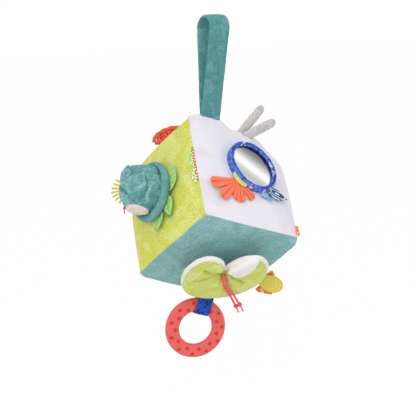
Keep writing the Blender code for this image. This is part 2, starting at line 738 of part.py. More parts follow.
# Head: a stuffed egg on a round neck, flattened on top under the hood
MUZZLE_SHARE = 1.15
TOP_FLAT_SHARE = 0.50
HEAD_NARROW_SHARE = 0.12
neck_height = CROWN + CLEAR + NECK_RADIUS
head_outline = [(0, HEAD_LENGTH)]
for step in range(1, 7):
    turn = pi / 2 * step / 6
    reach = HEAD_LENGTH - HEAD_RADIUS_HEIGHT
    head_outline.append((HEAD_RADIUS * sin(turn) ** MUZZLE_SHARE, HEAD_RADIUS_HEIGHT + reach * cos(turn)))
for step in range(3):
    turn = HEAD_SWING * step
    head_outline.append((HEAD_BASE_RADIUS * cos(turn), neck_height - HEAD_BASE_RADIUS * sin(turn)))
for step in range(4):
    turn = pi / 2 * (0.56 + 0.44 * step / 3)
    head_outline.append((NECK_RADIUS * cos(turn), neck_height - NECK_RADIUS * sin(turn)))


def head_shape(point):
    """Narrows the head a little and flattens the part that the hood covers."""
    high = ease((point.z - neck_height) / NECK_RADIUS)
    flat = ease((point.z - neck_height + NECK_RADIUS) / NECK_RADIUS)
    rise = 1 - TOP_FLAT_SHARE * flat if point.y > 0 else 1
    return Vector((point.x * (1 - HEAD_NARROW_SHARE * high), point.y * rise, point.z))


head_mesh = reshape(lathe(head_outline, 20), head_shape)
place("animal_head", head_mesh, faces["left"], "head_velour")
head_cutter = to_cutter(place("head_cutter", grown(head_mesh, CLEAR), faces["left"], "head_velour"))

# Hood: a broad pad that narrows to a knob at the brow, as shares of the head's length and radius
HOOD_SHARES = (
    (0.335, 0.45, 0.16, 0.60),
    (0.355, 0.72, 0.28, 0.58),
    (0.430, 0.80, 0.36, 0.56),
    (0.570, 0.78, 0.38, 0.56),
    (0.680, 0.60, 0.34, 0.60),
    (0.745, 0.40, 0.27, 0.63),
    (0.790, 0.27, 0.23, 0.67),
    (0.840, 0.27, 0.25, 0.70),
    (0.895, 0.22, 0.20, 0.70),
    (0.920, 0.12, 0.11, 0.70),
)
hood_shape = bmesh.new()
hood_rings = []
for height, width, depth, rise in HOOD_SHARES:
    loop = []
    for step in range(HOOD_STEPS):
        turn = 2 * pi * step / HOOD_STEPS
        loop.append(hood_shape.verts.new((
            HEAD_RADIUS * width * cos(turn),
            HEAD_RADIUS * (rise + depth * sin(turn)),
            HEAD_LENGTH * height,
        )))
    hood_rings.append(loop)
for lower, upper in zip(hood_rings, hood_rings[1:]):
    for step in range(HOOD_STEPS):
        after = (step + 1) % HOOD_STEPS
        hood_shape.faces.new((lower[step], lower[after], upper[after], upper[step]))
hood_shape.faces.new(hood_rings[0])
hood_shape.faces.new(hood_rings[-1])
hood_mesh = bpy.data.meshes.new("hood")
hood_shape.to_mesh(hood_mesh)
hood_shape.free()
hood_mesh = tidy(hood_mesh)
cut(place("head_hood", hood_mesh, faces["left"], "head_velour"), head_cutter)

chin_shape = bmesh.new()
bmesh.ops.create_uvsphere(chin_shape, u_segments=16, v_segments=10, radius=1)
for vertex in chin_shape.verts:
    vertex.co = Vector((
        vertex.co.x * CHIN_WIDTH / 2,
        vertex.co.y * CHIN_DEPTH / 2 - CHIN_DROP,
        vertex.co.z * CHIN_LENGTH / 2 + CHIN_HEIGHT,
    ))
chin_mesh = bpy.data.meshes.new("chin")
chin_shape.to_mesh(chin_mesh)
chin_shape.free()
cut(place("chin_patch", chin_mesh, faces["left"], "chin_plush"), head_cutter)

# Leaves that come out from under the collar's roll
cuff_reach = COLLAR_CUFF_RADIUS + CLEAR
cuff_outline = [(0, COLLAR_TOP), (cuff_reach, COLLAR_TOP), (cuff_reach, 0), (0, 0)]
cuff_cutter = to_cutter(place("cuff_cutter", lathe(cuff_outline, 36), faces["left"], "fibre"))


def leaf(name, outline, turn, heading, height, material):
    """Flat leaf with its root at the cuff."""
    root = (COLLAR_CUFF_RADIUS * cos(turn), COLLAR_CUFF_RADIUS * sin(turn), height)
    turning = Matrix.Rotation(heading, 3, "Z")
    cut(place(name, sheet([outline], LEAF_THICK), faces["left"], material, turning, root), cuff_cutter)


round_leaf = []
for step in range(24):
    turn = 2 * pi * step / 24
    round_leaf.append((ROUND_LEAF_RADIUS * cos(turn), ROUND_LEAF_RADIUS * sin(turn)))
middle_leaf = pointed_oval(MIDDLE_LEAF_LENGTH, MIDDLE_LEAF_WIDTH, MIDDLE_LEAF_WIDTH / 2)
low_leaf = pointed_oval(LOW_LEAF_LENGTH, LOW_LEAF_WIDTH, LOW_LEAF_WIDTH / 2)
back_leaf = pointed_oval(BACK_LEAF_LENGTH, BACK_LEAF_WIDTH, BACK_LEAF_WIDTH / 2)
back_leaf_height = LEAF_HEIGHT - LEAF_THICK - CLEAR
leaf("leaf_round", round_leaf, 0, 0, LEAF_HEIGHT, "leaf_print")
leaf("leaf_middle", middle_leaf, radians(-44), radians(-88), LEAF_HEIGHT, "leaf_print")
leaf("leaf_low", low_leaf, radians(-76), radians(-132), LEAF_HEIGHT, "leaf_print")
leaf("leaf_back", back_leaf, radians(-64), radians(-72), back_leaf_height, "dark_leaf")

# Drawstring pocket: a velour bag with plush lining, drawn in at the middle of its mouth
POUCH_UP = radians(125)
LEFT_FOLD_SHARE = -0.12
RIGHT_FOLD_SHARE = -0.75
up = Vector((cos(POUCH_UP), sin(POUCH_UP)))
right = Vector((up.y, -up.x))


def pouch_dents(point):
    """Draws the bag's front in at the cord and along the fold on each side of it."""
    spot = Vector((point.x, point.y))
    rise = spot.dot(up)
    across = spot.dot(right)
    front = ease((point.z - POUCH_MOUTH_HEIGHT) / POUCH_CLOTH)
    reach = hypot(rise - POUCH_CREASE_REACH, across)
    pinch = POUCH_PINCH_DEPTH * exp(-(reach / POUCH_PINCH_REACH) ** 2)
    fold = (LEFT_FOLD_SHARE if across < 0 else RIGHT_FOLD_SHARE) * abs(across)
    crease = POUCH_CREASE_DEPTH * exp(-((rise - fold) / POUCH_CREASE_REACH / 2) ** 2)
    return Vector((point.x, point.y, point.z - max(pinch, crease) * front))


FLAT_FRONT_SHARE = 0.70


def bag_mesh(inset, thick):
    """Round bag open towards the block, whose outside lies that far inside the bag's outer shape."""
    def wall(depth):
        front = POUCH_FRONT_HEIGHT - depth
        wide = POUCH_RADIUS - depth
        swell = front - POUCH_WIDE_HEIGHT
        points = [(wide * FLAT_FRONT_SHARE * step / 5, front) for step in range(6)]
        for step in range(1, 5):
            turn = pi / 2 * step / 4
            share = FLAT_FRONT_SHARE + (1 - FLAT_FRONT_SHARE) * sin(turn)
            points.append((wide * share, POUCH_WIDE_HEIGHT + swell * cos(turn)))
        base = POUCH_BASE_RADIUS - depth
        points += [((wide + base) / 2 + (wide - base) / 4, POUCH_WIDE_HEIGHT / 2 + CROWN / 2), (base, 0)]
        return points

    outline = wall(inset) + list(reversed(wall(inset + thick)))
    return reshape(lathe(outline, 40), pouch_dents)


pouch = place("pouch_front", bag_mesh(0, POUCH_CLOTH), faces["bottom"], "lime_velour")
lining = place("pouch_lining", bag_mesh(POUCH_CLOTH + CLEAR, LINING_THICK), faces["bottom"], "plush")


def pouch_cutter(name, outline, low, high):
    """Prism of an outline given as (across, up) points of the pocket."""
    flat = [tuple(right * across + up * rise) for across, rise in outline]
    height = high - low
    piece = place(name, sheet([flat], height), faces["bottom"], "fibre", location=(0, 0, low + height / 2))
    return to_cutter(piece)


mouth_inside = POUCH_BASE_RADIUS * 0.55
mouth_outside = POUCH_RADIUS + OVERRUN
mouth_outline = [(mouth_outside * sin(turn), mouth_outside * cos(turn)) for turn in
                 [radians(-95 + 190 * step / 12) for step in range(13)]]
mouth_outline += [(mouth_inside, 0), (-mouth_inside, 0)]
mouth_cutter = pouch_cutter("mouth_cutter", mouth_outline, -BURY, POUCH_MOUTH_HEIGHT)
trim_radius = POUCH_RADIUS - POUCH_TRIM
trim_outer = [(mouth_outside * sin(turn), mouth_outside * cos(turn)) for turn in
              [radians(-92 + 184 * step / 12) for step in range(13)]]
trim_inner = [(trim_radius * sin(turn), trim_radius * cos(turn)) for turn in
              [radians(92 - 184 * step / 12) for step in range(13)]]
trim_cutter = pouch_cutter("trim_cutter", trim_outer + trim_inner, POUCH_MOUTH_HEIGHT - BURY, EDGE)
notch_inside = POUCH_RADIUS - POUCH_NOTCH_DEPTH
notch_half = POUCH_NOTCH_WIDTH / 2
notch_shares = ((0, 0), (0.10, 0.30), (0.26, 0.56), (0.48, 0.80), (0.80, 0.97), (1.30, 1.15))


def notch_outline(margin):
    """Outline of the mouth's notch between the two lobes, that much wider on each side."""
    rights = []
    for x, y in notch_shares:
        rights.append((notch_half * x + margin, notch_inside + POUCH_NOTCH_DEPTH * y - margin))
    lefts = [(-x, y) for x, y in reversed(rights)]
    return rights + [(rights[-1][0], mouth_outside), (lefts[0][0], mouth_outside)] + lefts


notch_cutter = pouch_cutter("notch_cutter", notch_outline(CLEAR), CROWN + CLEAR, EDGE)
notch_trim = pouch_cutter("notch_trim", notch_outline(POUCH_TRIM * 0.8), CROWN + CLEAR, EDGE)
lobe_shares = (
    (0.07, 0.45), (0.13, 0.17), (0.27, 0.00), (0.43, 0.02), (0.60, 0.22),
    (0.74, 0.50), (0.84, 0.82), (0.60, 1.20), (0.20, 1.10),
)
lobe_outline = [(POUCH_RADIUS * x, POUCH_RADIUS * y) for x, y in lobe_shares]
lobe_cutter = pouch_cutter("lobe_cutter", lobe_outline, POUCH_MOUTH_HEIGHT, EDGE)
for piece, tools in (
    (pouch, (block_cutter, mouth_cutter, trim_cutter, notch_trim, lobe_cutter)),
    (lining, (block_cutter, mouth_cutter, notch_cutter)),
):
    for tool in tools:
        cut(piece, tool)

# Draw cord: two strands out of the pocket's pinch, each with a knot and a tail
cord_exit_height = POUCH_FRONT_HEIGHT - POUCH_PINCH_DEPTH + CLEAR + CORD_DIAMETER
CORD_ROUTES = {
    "left": ((-0.0017, 0.0050), (0.0005, -0.0090), (0.0055, -0.0260), (0.0105, -0.0410), (0.0145, -0.0510)),
    "right": ((0.0025, 0.0045), (0.0050, -0.0090), (0.0100, -0.0260), (0.0150, -0.0400), (0.0190, -0.0475)),
}
CORD_LIFTS = (0, 0, 0, 0.0015, 0.0065)
KNOT_SHARES = (0.45, 0.9, 1.1, 1.0, 0.8, 0.45)
TAIL_SHARES = (0.35, 0.7, 1)
TAIL_RADIUS_SHARES = (0.42, 0.42, 0.42)
front_clear = POUCH_FRONT_HEIGHT + CLEAR + CORD_DIAMETER * 0.6
for side, route in CORD_ROUTES.items():
    points = []
    for index, (across, rise) in enumerate(route):
        spot = right * across + up * rise
        height = cord_exit_height if index == 0 else front_clear + CORD_LIFTS[index]
        points.append(Vector((spot.x, spot.y, height)))
    strand = smooth_route(points, CORD_DIAMETER * 2.5)
    place("draw_cord_" + side, tube(strand, CORD_DIAMETER / 2), faces["bottom"], "red_cord")
    run = (points[-1] - points[-2]).normalized()
    knot_middle = points[-1] + run * (CLEAR + KNOT_RADIUS)
    tail_end = knot_middle + run * TAIL_LENGTH
    knot_start = points[-1] + run * CLEAR
    knot_points = [knot_start + run * 2 * KNOT_RADIUS * step / 5 for step in range(6)]
    tail_points = [knot_points[-1].lerp(tail_end, share) for share in TAIL_SHARES]
    mesh = tube(knot_points + tail_points, KNOT_RADIUS, KNOT_SHARES + TAIL_RADIUS_SHARES)
    place("draw_knot_" + side, mesh, faces["bottom"], "red_cord")

# Ribbon and teething ring under the seam between the teal faces
ring_middle_radius = (RING_RADIUS + RING_BORE_RADIUS) / 2
ring_half_width = (RING_RADIUS - RING_BORE_RADIUS) / 2
edge_sag = RING_BORE_RADIUS - sqrt(RING_BORE_RADIUS ** 2 - (RIBBON_WIDTH / 2) ** 2)
ribbon_root = ridge_rise(RING_ALONG) + CLEAR
ribbon_bottom = RING_DROP - RING_BORE_RADIUS + edge_sag + RIBBON_PLAY + RIBBON_THICK
ribbon_half = RING_THICK / 2 + RING_BUMP_HEIGHT + RIBBON_PLAY + RIBBON_THICK
ribbon_shoulder = RING_DROP - RING_RADIUS
ribbon_top_half = 1.5 * RIBBON_THICK


def ribbon_outline(depth):
    """Half outline of the ribbon's loop from the seam down, that far inside its outer face."""
    corner = ribbon_half * 0.6
    points = [(ribbon_half - depth, ribbon_shoulder), (ribbon_half - depth, ribbon_bottom - corner)]
    for step in range(1, 5):
        turn = pi / 2 * step / 5
        round_x = (corner - depth) * cos(turn)
        round_y = (corner - depth) * sin(turn)
        points.append((ribbon_half - corner + round_x, ribbon_bottom - corner + round_y))
    points.append((0, ribbon_bottom - depth))
    return points


outer = [(0, ribbon_root)]
for turn in (pi / 4, pi / 2):
    outer.append((ribbon_top_half * sin(turn), ribbon_root + ribbon_top_half * (1 - cos(turn))))
outer += [(ribbon_top_half, ribbon_root + ribbon_shoulder / 3)] + ribbon_outline(0)
inner = [(0, ribbon_root + ribbon_shoulder / 2)] + ribbon_outline(RIBBON_THICK)
outer += [(-x, y) for x, y in reversed(outer[1:-1])]
inner += [(-x, y) for x, y in reversed(inner[1:-1])]


def hang_ribbon(point):
    """Stands the ribbon's outline under the seam and twists it towards the ring."""
    twist = RING_TURN * ease((point.y - ribbon_root) / (ribbon_shoulder - ribbon_root))
    across = point.z * cos(twist) + point.x * sin(twist)
    return Vector((across, point.y, point.x * cos(twist) - point.z * sin(twist)))


ribbon_mesh = reshape(sheet([outer, inner], RIBBON_WIDTH), hang_ribbon)
ribbon_frame = frame("ribbon_frame", ribbon_seam, Matrix.Identity(3), (RING_ALONG, 0, 0))
place("ribbon_loop", tidy(ribbon_mesh), ribbon_frame, "blue_ribbon")

ring_frame = frame("ring_frame", ribbon_frame, Matrix.Rotation(RING_TURN, 3, "Y"), (0, RING_DROP, 0))
ring_round = RING_THICK * 0.38
ring_section = []
for corner_x, corner_z, start in ((1, 1, 0), (-1, 1, 1), (-1, -1, 2), (1, -1, 3)):
    for step in range(4):
        turn = (start + step / 3) * pi / 2
        ring_section.append((
            ring_middle_radius + corner_x * (ring_half_width - ring_round) + ring_round * cos(turn),
            corner_z * (RING_THICK / 2 - ring_round) + ring_round * sin(turn),
        ))
ring_mesh = lathe(ring_section, 48, True)
bumps = bmesh.new()
bump_count = 22
for side in (-1, 1):
    for index in range(bump_count):
        turn = 2 * pi * index / bump_count
        radius = ring_middle_radius + ring_half_width * (0.36 if index % 2 else -0.30)
        spot = Vector((radius * cos(turn), radius * sin(turn), side * RING_THICK / 2))
        made = bmesh.ops.create_uvsphere(bumps, u_segments=6, v_segments=4, radius=1)
        size = Vector((RING_BUMP_RADIUS, RING_BUMP_RADIUS, RING_BUMP_HEIGHT))
        for vertex in made["verts"]:
            vertex.co = vertex.co * size + spot
bump_mesh = bpy.data.meshes.new("bumps")
bumps.to_mesh(bump_mesh)
bumps.free()
ring_blank = place("ring_blank", ring_mesh, ring_frame, "coral")
bump_tool = to_cutter(place("bump_tool", bump_mesh, ring_frame, "coral"))
joining = ring_blank.modifiers.new("bumps", "BOOLEAN")
joining.operation = "UNION"
joining.solver = "EXACT"
joining.object = bump_tool
ring_mesh = bake(ring_blank)
bpy.data.objects.remove(bump_tool, do_unlink=True)
ring_mesh.materials.clear()
place("teething_ring", ring_mesh, ring_frame, "coral")

# Felt fan with spikes in the seam behind the head
felt_base = ridge_rise(FELT_ALONG - FELT_RADIUS) + CLEAR
felt_outline = []
spikes = 11
for spike in range(spikes):
    middle = pi - pi * (spike + 0.5) / spikes
    half = pi / spikes * 0.28
    gap = pi / spikes / 2
    for radius, turn in (
        (FELT_RADIUS, middle + gap * 0.8),
        (FELT_SPIKE, middle + half * 0.6),
        (FELT_SPIKE, middle - half * 0.6),
        (FELT_RADIUS, middle - gap * 0.8),
    ):
        felt_outline.append((radius * cos(turn), felt_base + radius * sin(turn)))
for share in (1, 0.5, 0, -0.5, -1):
    along = FELT_RADIUS * share
    felt_outline.append((along, ridge_rise(FELT_ALONG + along) + CLEAR))
place("felt_fan", sheet([felt_outline], FELT_THICK), felt_seam, "yellow_felt", location=(FELT_ALONG, 0, 0))

# Short cord with a knot under the felt fan
down = block_frame.matrix_local.to_3x3().transposed() @ Vector((0, 0, -1))
seam_down = felt_seam.matrix_local.to_3x3().transposed() @ down
cord_side = -(FELT_THICK + BACK_CORD_DIAMETER) / 2 - CLEAR
cord_start = Vector((BACK_CORD_ALONG, ridge_rise(BACK_CORD_ALONG), cord_side))
cord_turn = cord_start + Vector((0, BACK_CORD_DIAMETER * 3, 0)) + seam_down * BACK_CORD_DIAMETER
cord_end = cord_turn + seam_down * BACK_CORD_DROP
back_route = [cord_start, cord_turn] + [cord_turn.lerp(cord_end, share) for share in (1 / 3, 2 / 3, 1)]
back_points = smooth_route(back_route, BACK_CORD_DIAMETER * 2.5)
place("back_cord", tube(back_points, BACK_CORD_DIAMETER / 2), felt_seam, "red_cord")
run = (back_points[-1] - back_points[-2]).normalized()
knot_points = [cord_end + run * CLEAR + run * 2 * BACK_KNOT_RADIUS * step / 5 for step in range(6)]
knot_points += [knot_points[-1] + run * BACK_KNOT_RADIUS * share for share in (1.5, 3)]
knot_mesh = tube(knot_points, BACK_KNOT_RADIUS, KNOT_SHARES + TAIL_RADIUS_SHARES[:2])
place("back_cord_knot", knot_mesh, felt_seam, "red_cord")

# Folded tag near the lower right corner
corner_half = CORNER_TAG_LENGTH / 2
corner_outline = []
for share in (-1, -0.5, 0, 0.5, 1):
    along = corner_half * share
    corner_outline.append((along, ridge_rise(CORNER_TAG_ALONG + along) + CLEAR))
corner_top = ridge_rise(CORNER_TAG_ALONG) + CORNER_TAG_REACH
corner_outline += [(corner_half * 0.8, corner_top), (-corner_half * 0.9, corner_top)]
place("corner_tag", sheet([corner_outline], CORNER_TAG_THICK), corner_seam, "orange_felt",
      location=(CORNER_TAG_ALONG, 0, 0))

# Oval tag over an orange strip, with a stem to the seam
oval_root = ridge_rise(OVAL_ALONG) + CLEAR
oval_tilt = radians(149)
oval_outline = []
for step in range(24):
    turn = 2 * pi * step / 24
    oval_outline.append((OVAL_LENGTH / 2 * cos(turn), OVAL_WIDTH / 2 * sin(turn)))
strip_layer = STRIP_THICK / 2 + CLEAR + OVAL_THICK / 2
place("oval_tag", sheet([oval_outline], OVAL_THICK), oval_seam, "yellow_cotton",
      Matrix.Rotation(oval_tilt, 3, "Z"), (OVAL_ALONG, OVAL_OUT, strip_layer))
stem = STEM_WIDTH / 2
strip_outline = [
    (OVAL_ALONG - stem, oval_root),
    (OVAL_ALONG - stem, OVAL_OUT - OVAL_WIDTH / 2),
    (OVAL_ALONG - OVAL_LENGTH * 0.42, OVAL_OUT - OVAL_WIDTH * 0.52),
    (OVAL_ALONG - OVAL_LENGTH * 0.48, OVAL_OUT - OVAL_WIDTH * 0.36),
    (OVAL_ALONG - stem, OVAL_OUT - OVAL_WIDTH * 0.15),
    (OVAL_ALONG + OVAL_LENGTH * 0.25, OVAL_OUT + OVAL_WIDTH * 0.42),
    (OVAL_ALONG + OVAL_LENGTH * 0.40, OVAL_OUT + OVAL_WIDTH * 0.46),
    (OVAL_ALONG + OVAL_LENGTH * 0.80, OVAL_OUT - OVAL_WIDTH * 0.02),
    (OVAL_ALONG + OVAL_LENGTH * 0.80, OVAL_OUT - OVAL_WIDTH * 0.22),
    (OVAL_ALONG + OVAL_LENGTH * 0.62, OVAL_OUT - OVAL_WIDTH * 0.24),
    (OVAL_ALONG + stem, OVAL_OUT - OVAL_WIDTH / 4),
    (OVAL_ALONG + stem, oval_root),
]
place("oval_tag_strip", sheet([strip_outline], STRIP_THICK), oval_seam, "orange_felt")

# Two stuffed grey prongs in the strap's seam
PRONGS = {
    "prong_left": (LEFT_PRONG_ROOT, LEFT_PRONG_TIP, LEFT_PRONG_LENGTH),
    "prong_right": (RIGHT_PRONG_ROOT, RIGHT_PRONG_TIP, RIGHT_PRONG_LENGTH),
}
prong_radius_shares = (0.92, 1.0, 1.0, 0.95, 0.85, 0.62, 0.25)
prong_shares = (0, 0.2, 0.4, 0.6, 0.8, 0.93, 1)
for name, (root_along, tip_along, length) in PRONGS.items():
    side = 1 if root_along == RIGHT_PRONG_ROOT else -1
    slant = tip_along - root_along
    rise = sqrt(length ** 2 - slant ** 2)
    route = []
    for share in prong_shares:
        route.append(Vector((root_along + slant * share, rise * share - BURY * (1 - share), 0)))
    mesh = tube(route, PRONG_WIDTH / 2, prong_radius_shares)
    flatten = PRONG_THICK / PRONG_WIDTH
    layer = side * (PRONG_THICK / 2 + CLEAR / 2)
    reshape(mesh, lambda point: Vector((point.x, point.y, point.z * flatten + layer)))
    cut(place(name, mesh, strap_seam, "grey_velour"), block_cutter)

# Flower at the top: stuffed heart and scalloped ruffle
flower_base = skin_rise(FLOWER_X, FLOWER_Y)
heart_outline = [
    (0, FLOWER_HEIGHT),
    (FLOWER_RADIUS * 0.5, FLOWER_HEIGHT * 0.985),
    (FLOWER_RADIUS * 0.85, FLOWER_HEIGHT * 0.92),
    (FLOWER_RADIUS, FLOWER_HEIGHT * 0.82),
    (FLOWER_RADIUS * 0.92, FLOWER_HEIGHT * 0.62),
    (FLOWER_RADIUS * 0.65, FLOWER_HEIGHT * 0.40),
    (FLOWER_RADIUS * 0.5, 0),
    (0, 0),
]
flower_turn = Matrix.Rotation(-FLOWER_LEAN, 3, "Y")
heart = place("flower_heart", lathe(heart_outline, 24), faces["top"], "red_cotton", flower_turn,
              (FLOWER_X, FLOWER_Y, 0))
cut(heart, block_cutter)
ruffle_bore = FLOWER_RADIUS + CLEAR
ruffle_level = FLOWER_HEIGHT * 0.82
ruffle_outline = [
    (ruffle_bore, ruffle_level + FLOWER_RUFFLE_THICK / 2),
    (FLOWER_RUFFLE_RADIUS, ruffle_level + FLOWER_RUFFLE_THICK * 1.1),
    (FLOWER_RUFFLE_RADIUS, ruffle_level + FLOWER_RUFFLE_THICK * 0.3),
    (ruffle_bore, ruffle_level - FLOWER_RUFFLE_THICK / 2),
]


def scallop(point):
    """Waves the ruffle's outer edge into petals."""
    radius = hypot(point.x, point.y)
    turn = atan2(point.y, point.x)
    share = max(radius - ruffle_bore, 0) / (FLOWER_RUFFLE_RADIUS - ruffle_bore)
    wave = PETAL_DEPTH * share * (abs(sin(turn * 6)) - 0.5)
    return Vector((point.x * (1 + wave / radius), point.y * (1 + wave / radius), point.z))


ruffle_mesh = reshape(lathe(ruffle_outline, 48, True), scallop)
place("flower_ruffle", ruffle_mesh, faces["top"], "orange_felt", flower_turn, (FLOWER_X, FLOWER_Y, 0))
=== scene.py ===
"""Looks of a soft fabric activity block that hangs by a velour strap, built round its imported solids.

Everything is in metres with +Z up. The origin is the top inside of the strap's loop, where the block
hangs. Each piece is made in the frame of the face or seam that it is sewn to, and then put in its place.
"""
import json
import bmesh
import bpy
from math import atan2, ceil, cos, exp, hypot, pi, radians, sin, sqrt, tan
from mathutils import Matrix, Vector, geometry, noise
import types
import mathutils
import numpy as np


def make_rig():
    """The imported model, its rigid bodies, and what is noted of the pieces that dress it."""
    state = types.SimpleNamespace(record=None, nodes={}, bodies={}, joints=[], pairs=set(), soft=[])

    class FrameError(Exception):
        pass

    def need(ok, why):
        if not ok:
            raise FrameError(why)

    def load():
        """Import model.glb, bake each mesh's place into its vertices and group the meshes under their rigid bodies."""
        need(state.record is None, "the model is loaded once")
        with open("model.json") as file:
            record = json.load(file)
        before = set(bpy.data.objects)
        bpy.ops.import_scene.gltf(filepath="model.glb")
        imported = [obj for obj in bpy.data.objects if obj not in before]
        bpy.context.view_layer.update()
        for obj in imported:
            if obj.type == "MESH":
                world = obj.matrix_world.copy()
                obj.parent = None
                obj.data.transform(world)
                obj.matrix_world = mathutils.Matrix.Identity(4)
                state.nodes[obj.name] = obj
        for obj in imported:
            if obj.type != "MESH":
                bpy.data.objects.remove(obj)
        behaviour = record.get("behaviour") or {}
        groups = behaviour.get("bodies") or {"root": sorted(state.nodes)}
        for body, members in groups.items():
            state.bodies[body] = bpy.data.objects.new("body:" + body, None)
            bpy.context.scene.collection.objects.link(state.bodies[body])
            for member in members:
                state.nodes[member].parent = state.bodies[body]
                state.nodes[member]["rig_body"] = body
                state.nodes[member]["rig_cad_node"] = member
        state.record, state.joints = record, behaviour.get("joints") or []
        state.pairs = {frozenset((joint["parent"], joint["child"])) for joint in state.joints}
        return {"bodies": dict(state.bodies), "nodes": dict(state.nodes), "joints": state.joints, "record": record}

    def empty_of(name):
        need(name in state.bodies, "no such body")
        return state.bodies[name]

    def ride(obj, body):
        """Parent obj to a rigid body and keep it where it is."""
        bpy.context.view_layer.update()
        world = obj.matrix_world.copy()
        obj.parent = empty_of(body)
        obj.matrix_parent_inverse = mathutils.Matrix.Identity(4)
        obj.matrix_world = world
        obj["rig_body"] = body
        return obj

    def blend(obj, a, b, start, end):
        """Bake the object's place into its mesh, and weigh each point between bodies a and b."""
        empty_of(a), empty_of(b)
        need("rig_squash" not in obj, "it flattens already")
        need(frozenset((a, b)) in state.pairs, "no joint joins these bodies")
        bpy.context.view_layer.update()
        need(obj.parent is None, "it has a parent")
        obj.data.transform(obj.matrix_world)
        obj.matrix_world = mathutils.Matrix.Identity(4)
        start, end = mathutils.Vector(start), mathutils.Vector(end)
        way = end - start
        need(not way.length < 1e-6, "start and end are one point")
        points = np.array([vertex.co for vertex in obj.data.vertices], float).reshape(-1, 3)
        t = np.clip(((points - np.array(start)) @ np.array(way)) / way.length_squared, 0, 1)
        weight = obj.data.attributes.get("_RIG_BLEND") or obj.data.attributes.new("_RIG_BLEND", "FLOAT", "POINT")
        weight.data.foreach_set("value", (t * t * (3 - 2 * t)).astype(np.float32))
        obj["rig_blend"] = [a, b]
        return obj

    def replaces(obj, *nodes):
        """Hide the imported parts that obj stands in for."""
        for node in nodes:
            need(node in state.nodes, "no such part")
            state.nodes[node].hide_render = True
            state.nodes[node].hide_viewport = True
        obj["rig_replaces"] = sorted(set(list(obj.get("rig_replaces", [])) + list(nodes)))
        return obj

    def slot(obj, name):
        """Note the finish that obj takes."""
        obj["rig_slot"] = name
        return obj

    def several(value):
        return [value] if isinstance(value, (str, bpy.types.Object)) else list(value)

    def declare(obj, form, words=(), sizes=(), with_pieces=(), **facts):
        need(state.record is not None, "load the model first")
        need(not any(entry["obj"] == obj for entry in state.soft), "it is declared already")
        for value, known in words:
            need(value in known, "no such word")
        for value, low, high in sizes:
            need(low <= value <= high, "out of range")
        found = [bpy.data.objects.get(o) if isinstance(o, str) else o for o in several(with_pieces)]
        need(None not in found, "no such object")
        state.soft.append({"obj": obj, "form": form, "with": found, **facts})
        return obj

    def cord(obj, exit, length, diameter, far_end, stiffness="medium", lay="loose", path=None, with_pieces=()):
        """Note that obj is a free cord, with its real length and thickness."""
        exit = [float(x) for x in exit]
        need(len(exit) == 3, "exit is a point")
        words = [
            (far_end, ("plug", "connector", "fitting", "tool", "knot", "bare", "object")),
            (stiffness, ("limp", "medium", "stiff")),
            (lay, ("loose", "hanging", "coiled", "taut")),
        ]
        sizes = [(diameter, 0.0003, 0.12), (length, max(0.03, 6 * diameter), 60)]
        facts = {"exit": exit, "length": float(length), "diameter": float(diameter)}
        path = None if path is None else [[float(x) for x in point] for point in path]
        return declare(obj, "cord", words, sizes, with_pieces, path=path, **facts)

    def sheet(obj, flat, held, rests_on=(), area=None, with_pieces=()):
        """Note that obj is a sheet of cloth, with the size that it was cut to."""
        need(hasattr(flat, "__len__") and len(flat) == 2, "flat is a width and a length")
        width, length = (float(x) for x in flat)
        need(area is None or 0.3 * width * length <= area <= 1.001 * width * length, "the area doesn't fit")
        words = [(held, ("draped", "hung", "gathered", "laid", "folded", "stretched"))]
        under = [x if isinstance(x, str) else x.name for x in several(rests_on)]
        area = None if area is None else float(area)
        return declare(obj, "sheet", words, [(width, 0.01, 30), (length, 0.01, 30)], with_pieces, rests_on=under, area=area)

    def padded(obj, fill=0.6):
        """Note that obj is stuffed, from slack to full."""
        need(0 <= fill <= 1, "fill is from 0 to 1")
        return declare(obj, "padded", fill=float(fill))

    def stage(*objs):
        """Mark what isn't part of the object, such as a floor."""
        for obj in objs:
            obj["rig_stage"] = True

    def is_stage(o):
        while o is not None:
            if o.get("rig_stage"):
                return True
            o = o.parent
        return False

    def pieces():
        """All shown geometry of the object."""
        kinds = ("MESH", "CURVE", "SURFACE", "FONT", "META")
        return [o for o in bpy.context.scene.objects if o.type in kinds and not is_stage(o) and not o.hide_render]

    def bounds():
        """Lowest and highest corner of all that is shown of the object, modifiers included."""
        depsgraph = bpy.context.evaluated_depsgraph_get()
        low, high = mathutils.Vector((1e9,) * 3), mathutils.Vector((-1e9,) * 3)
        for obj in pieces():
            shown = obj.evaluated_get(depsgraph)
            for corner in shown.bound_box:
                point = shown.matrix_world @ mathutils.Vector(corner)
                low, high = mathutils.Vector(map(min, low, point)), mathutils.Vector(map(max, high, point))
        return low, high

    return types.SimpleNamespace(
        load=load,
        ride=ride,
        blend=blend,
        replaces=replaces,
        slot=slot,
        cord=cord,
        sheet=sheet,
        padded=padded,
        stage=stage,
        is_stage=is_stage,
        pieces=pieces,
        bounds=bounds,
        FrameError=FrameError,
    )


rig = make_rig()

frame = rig.load()
cad_low, cad_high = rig.bounds()
scene = bpy.context.scene
bpy.ops.object.select_all(action="DESELECT")


# Camera: it looks down a little at the edge between the lime face and the white face, from the left.
VIEW_CENTRE = Vector((-0.005, 0, -0.2332))
VIEW_AZIMUTH = radians(-31)
VIEW_ELEVATION = radians(16)
VIEW_DISTANCE = 0.98
VIEW_LENS = 66.73
VIEW_SHIFT = (-0.0048, -0.0029)

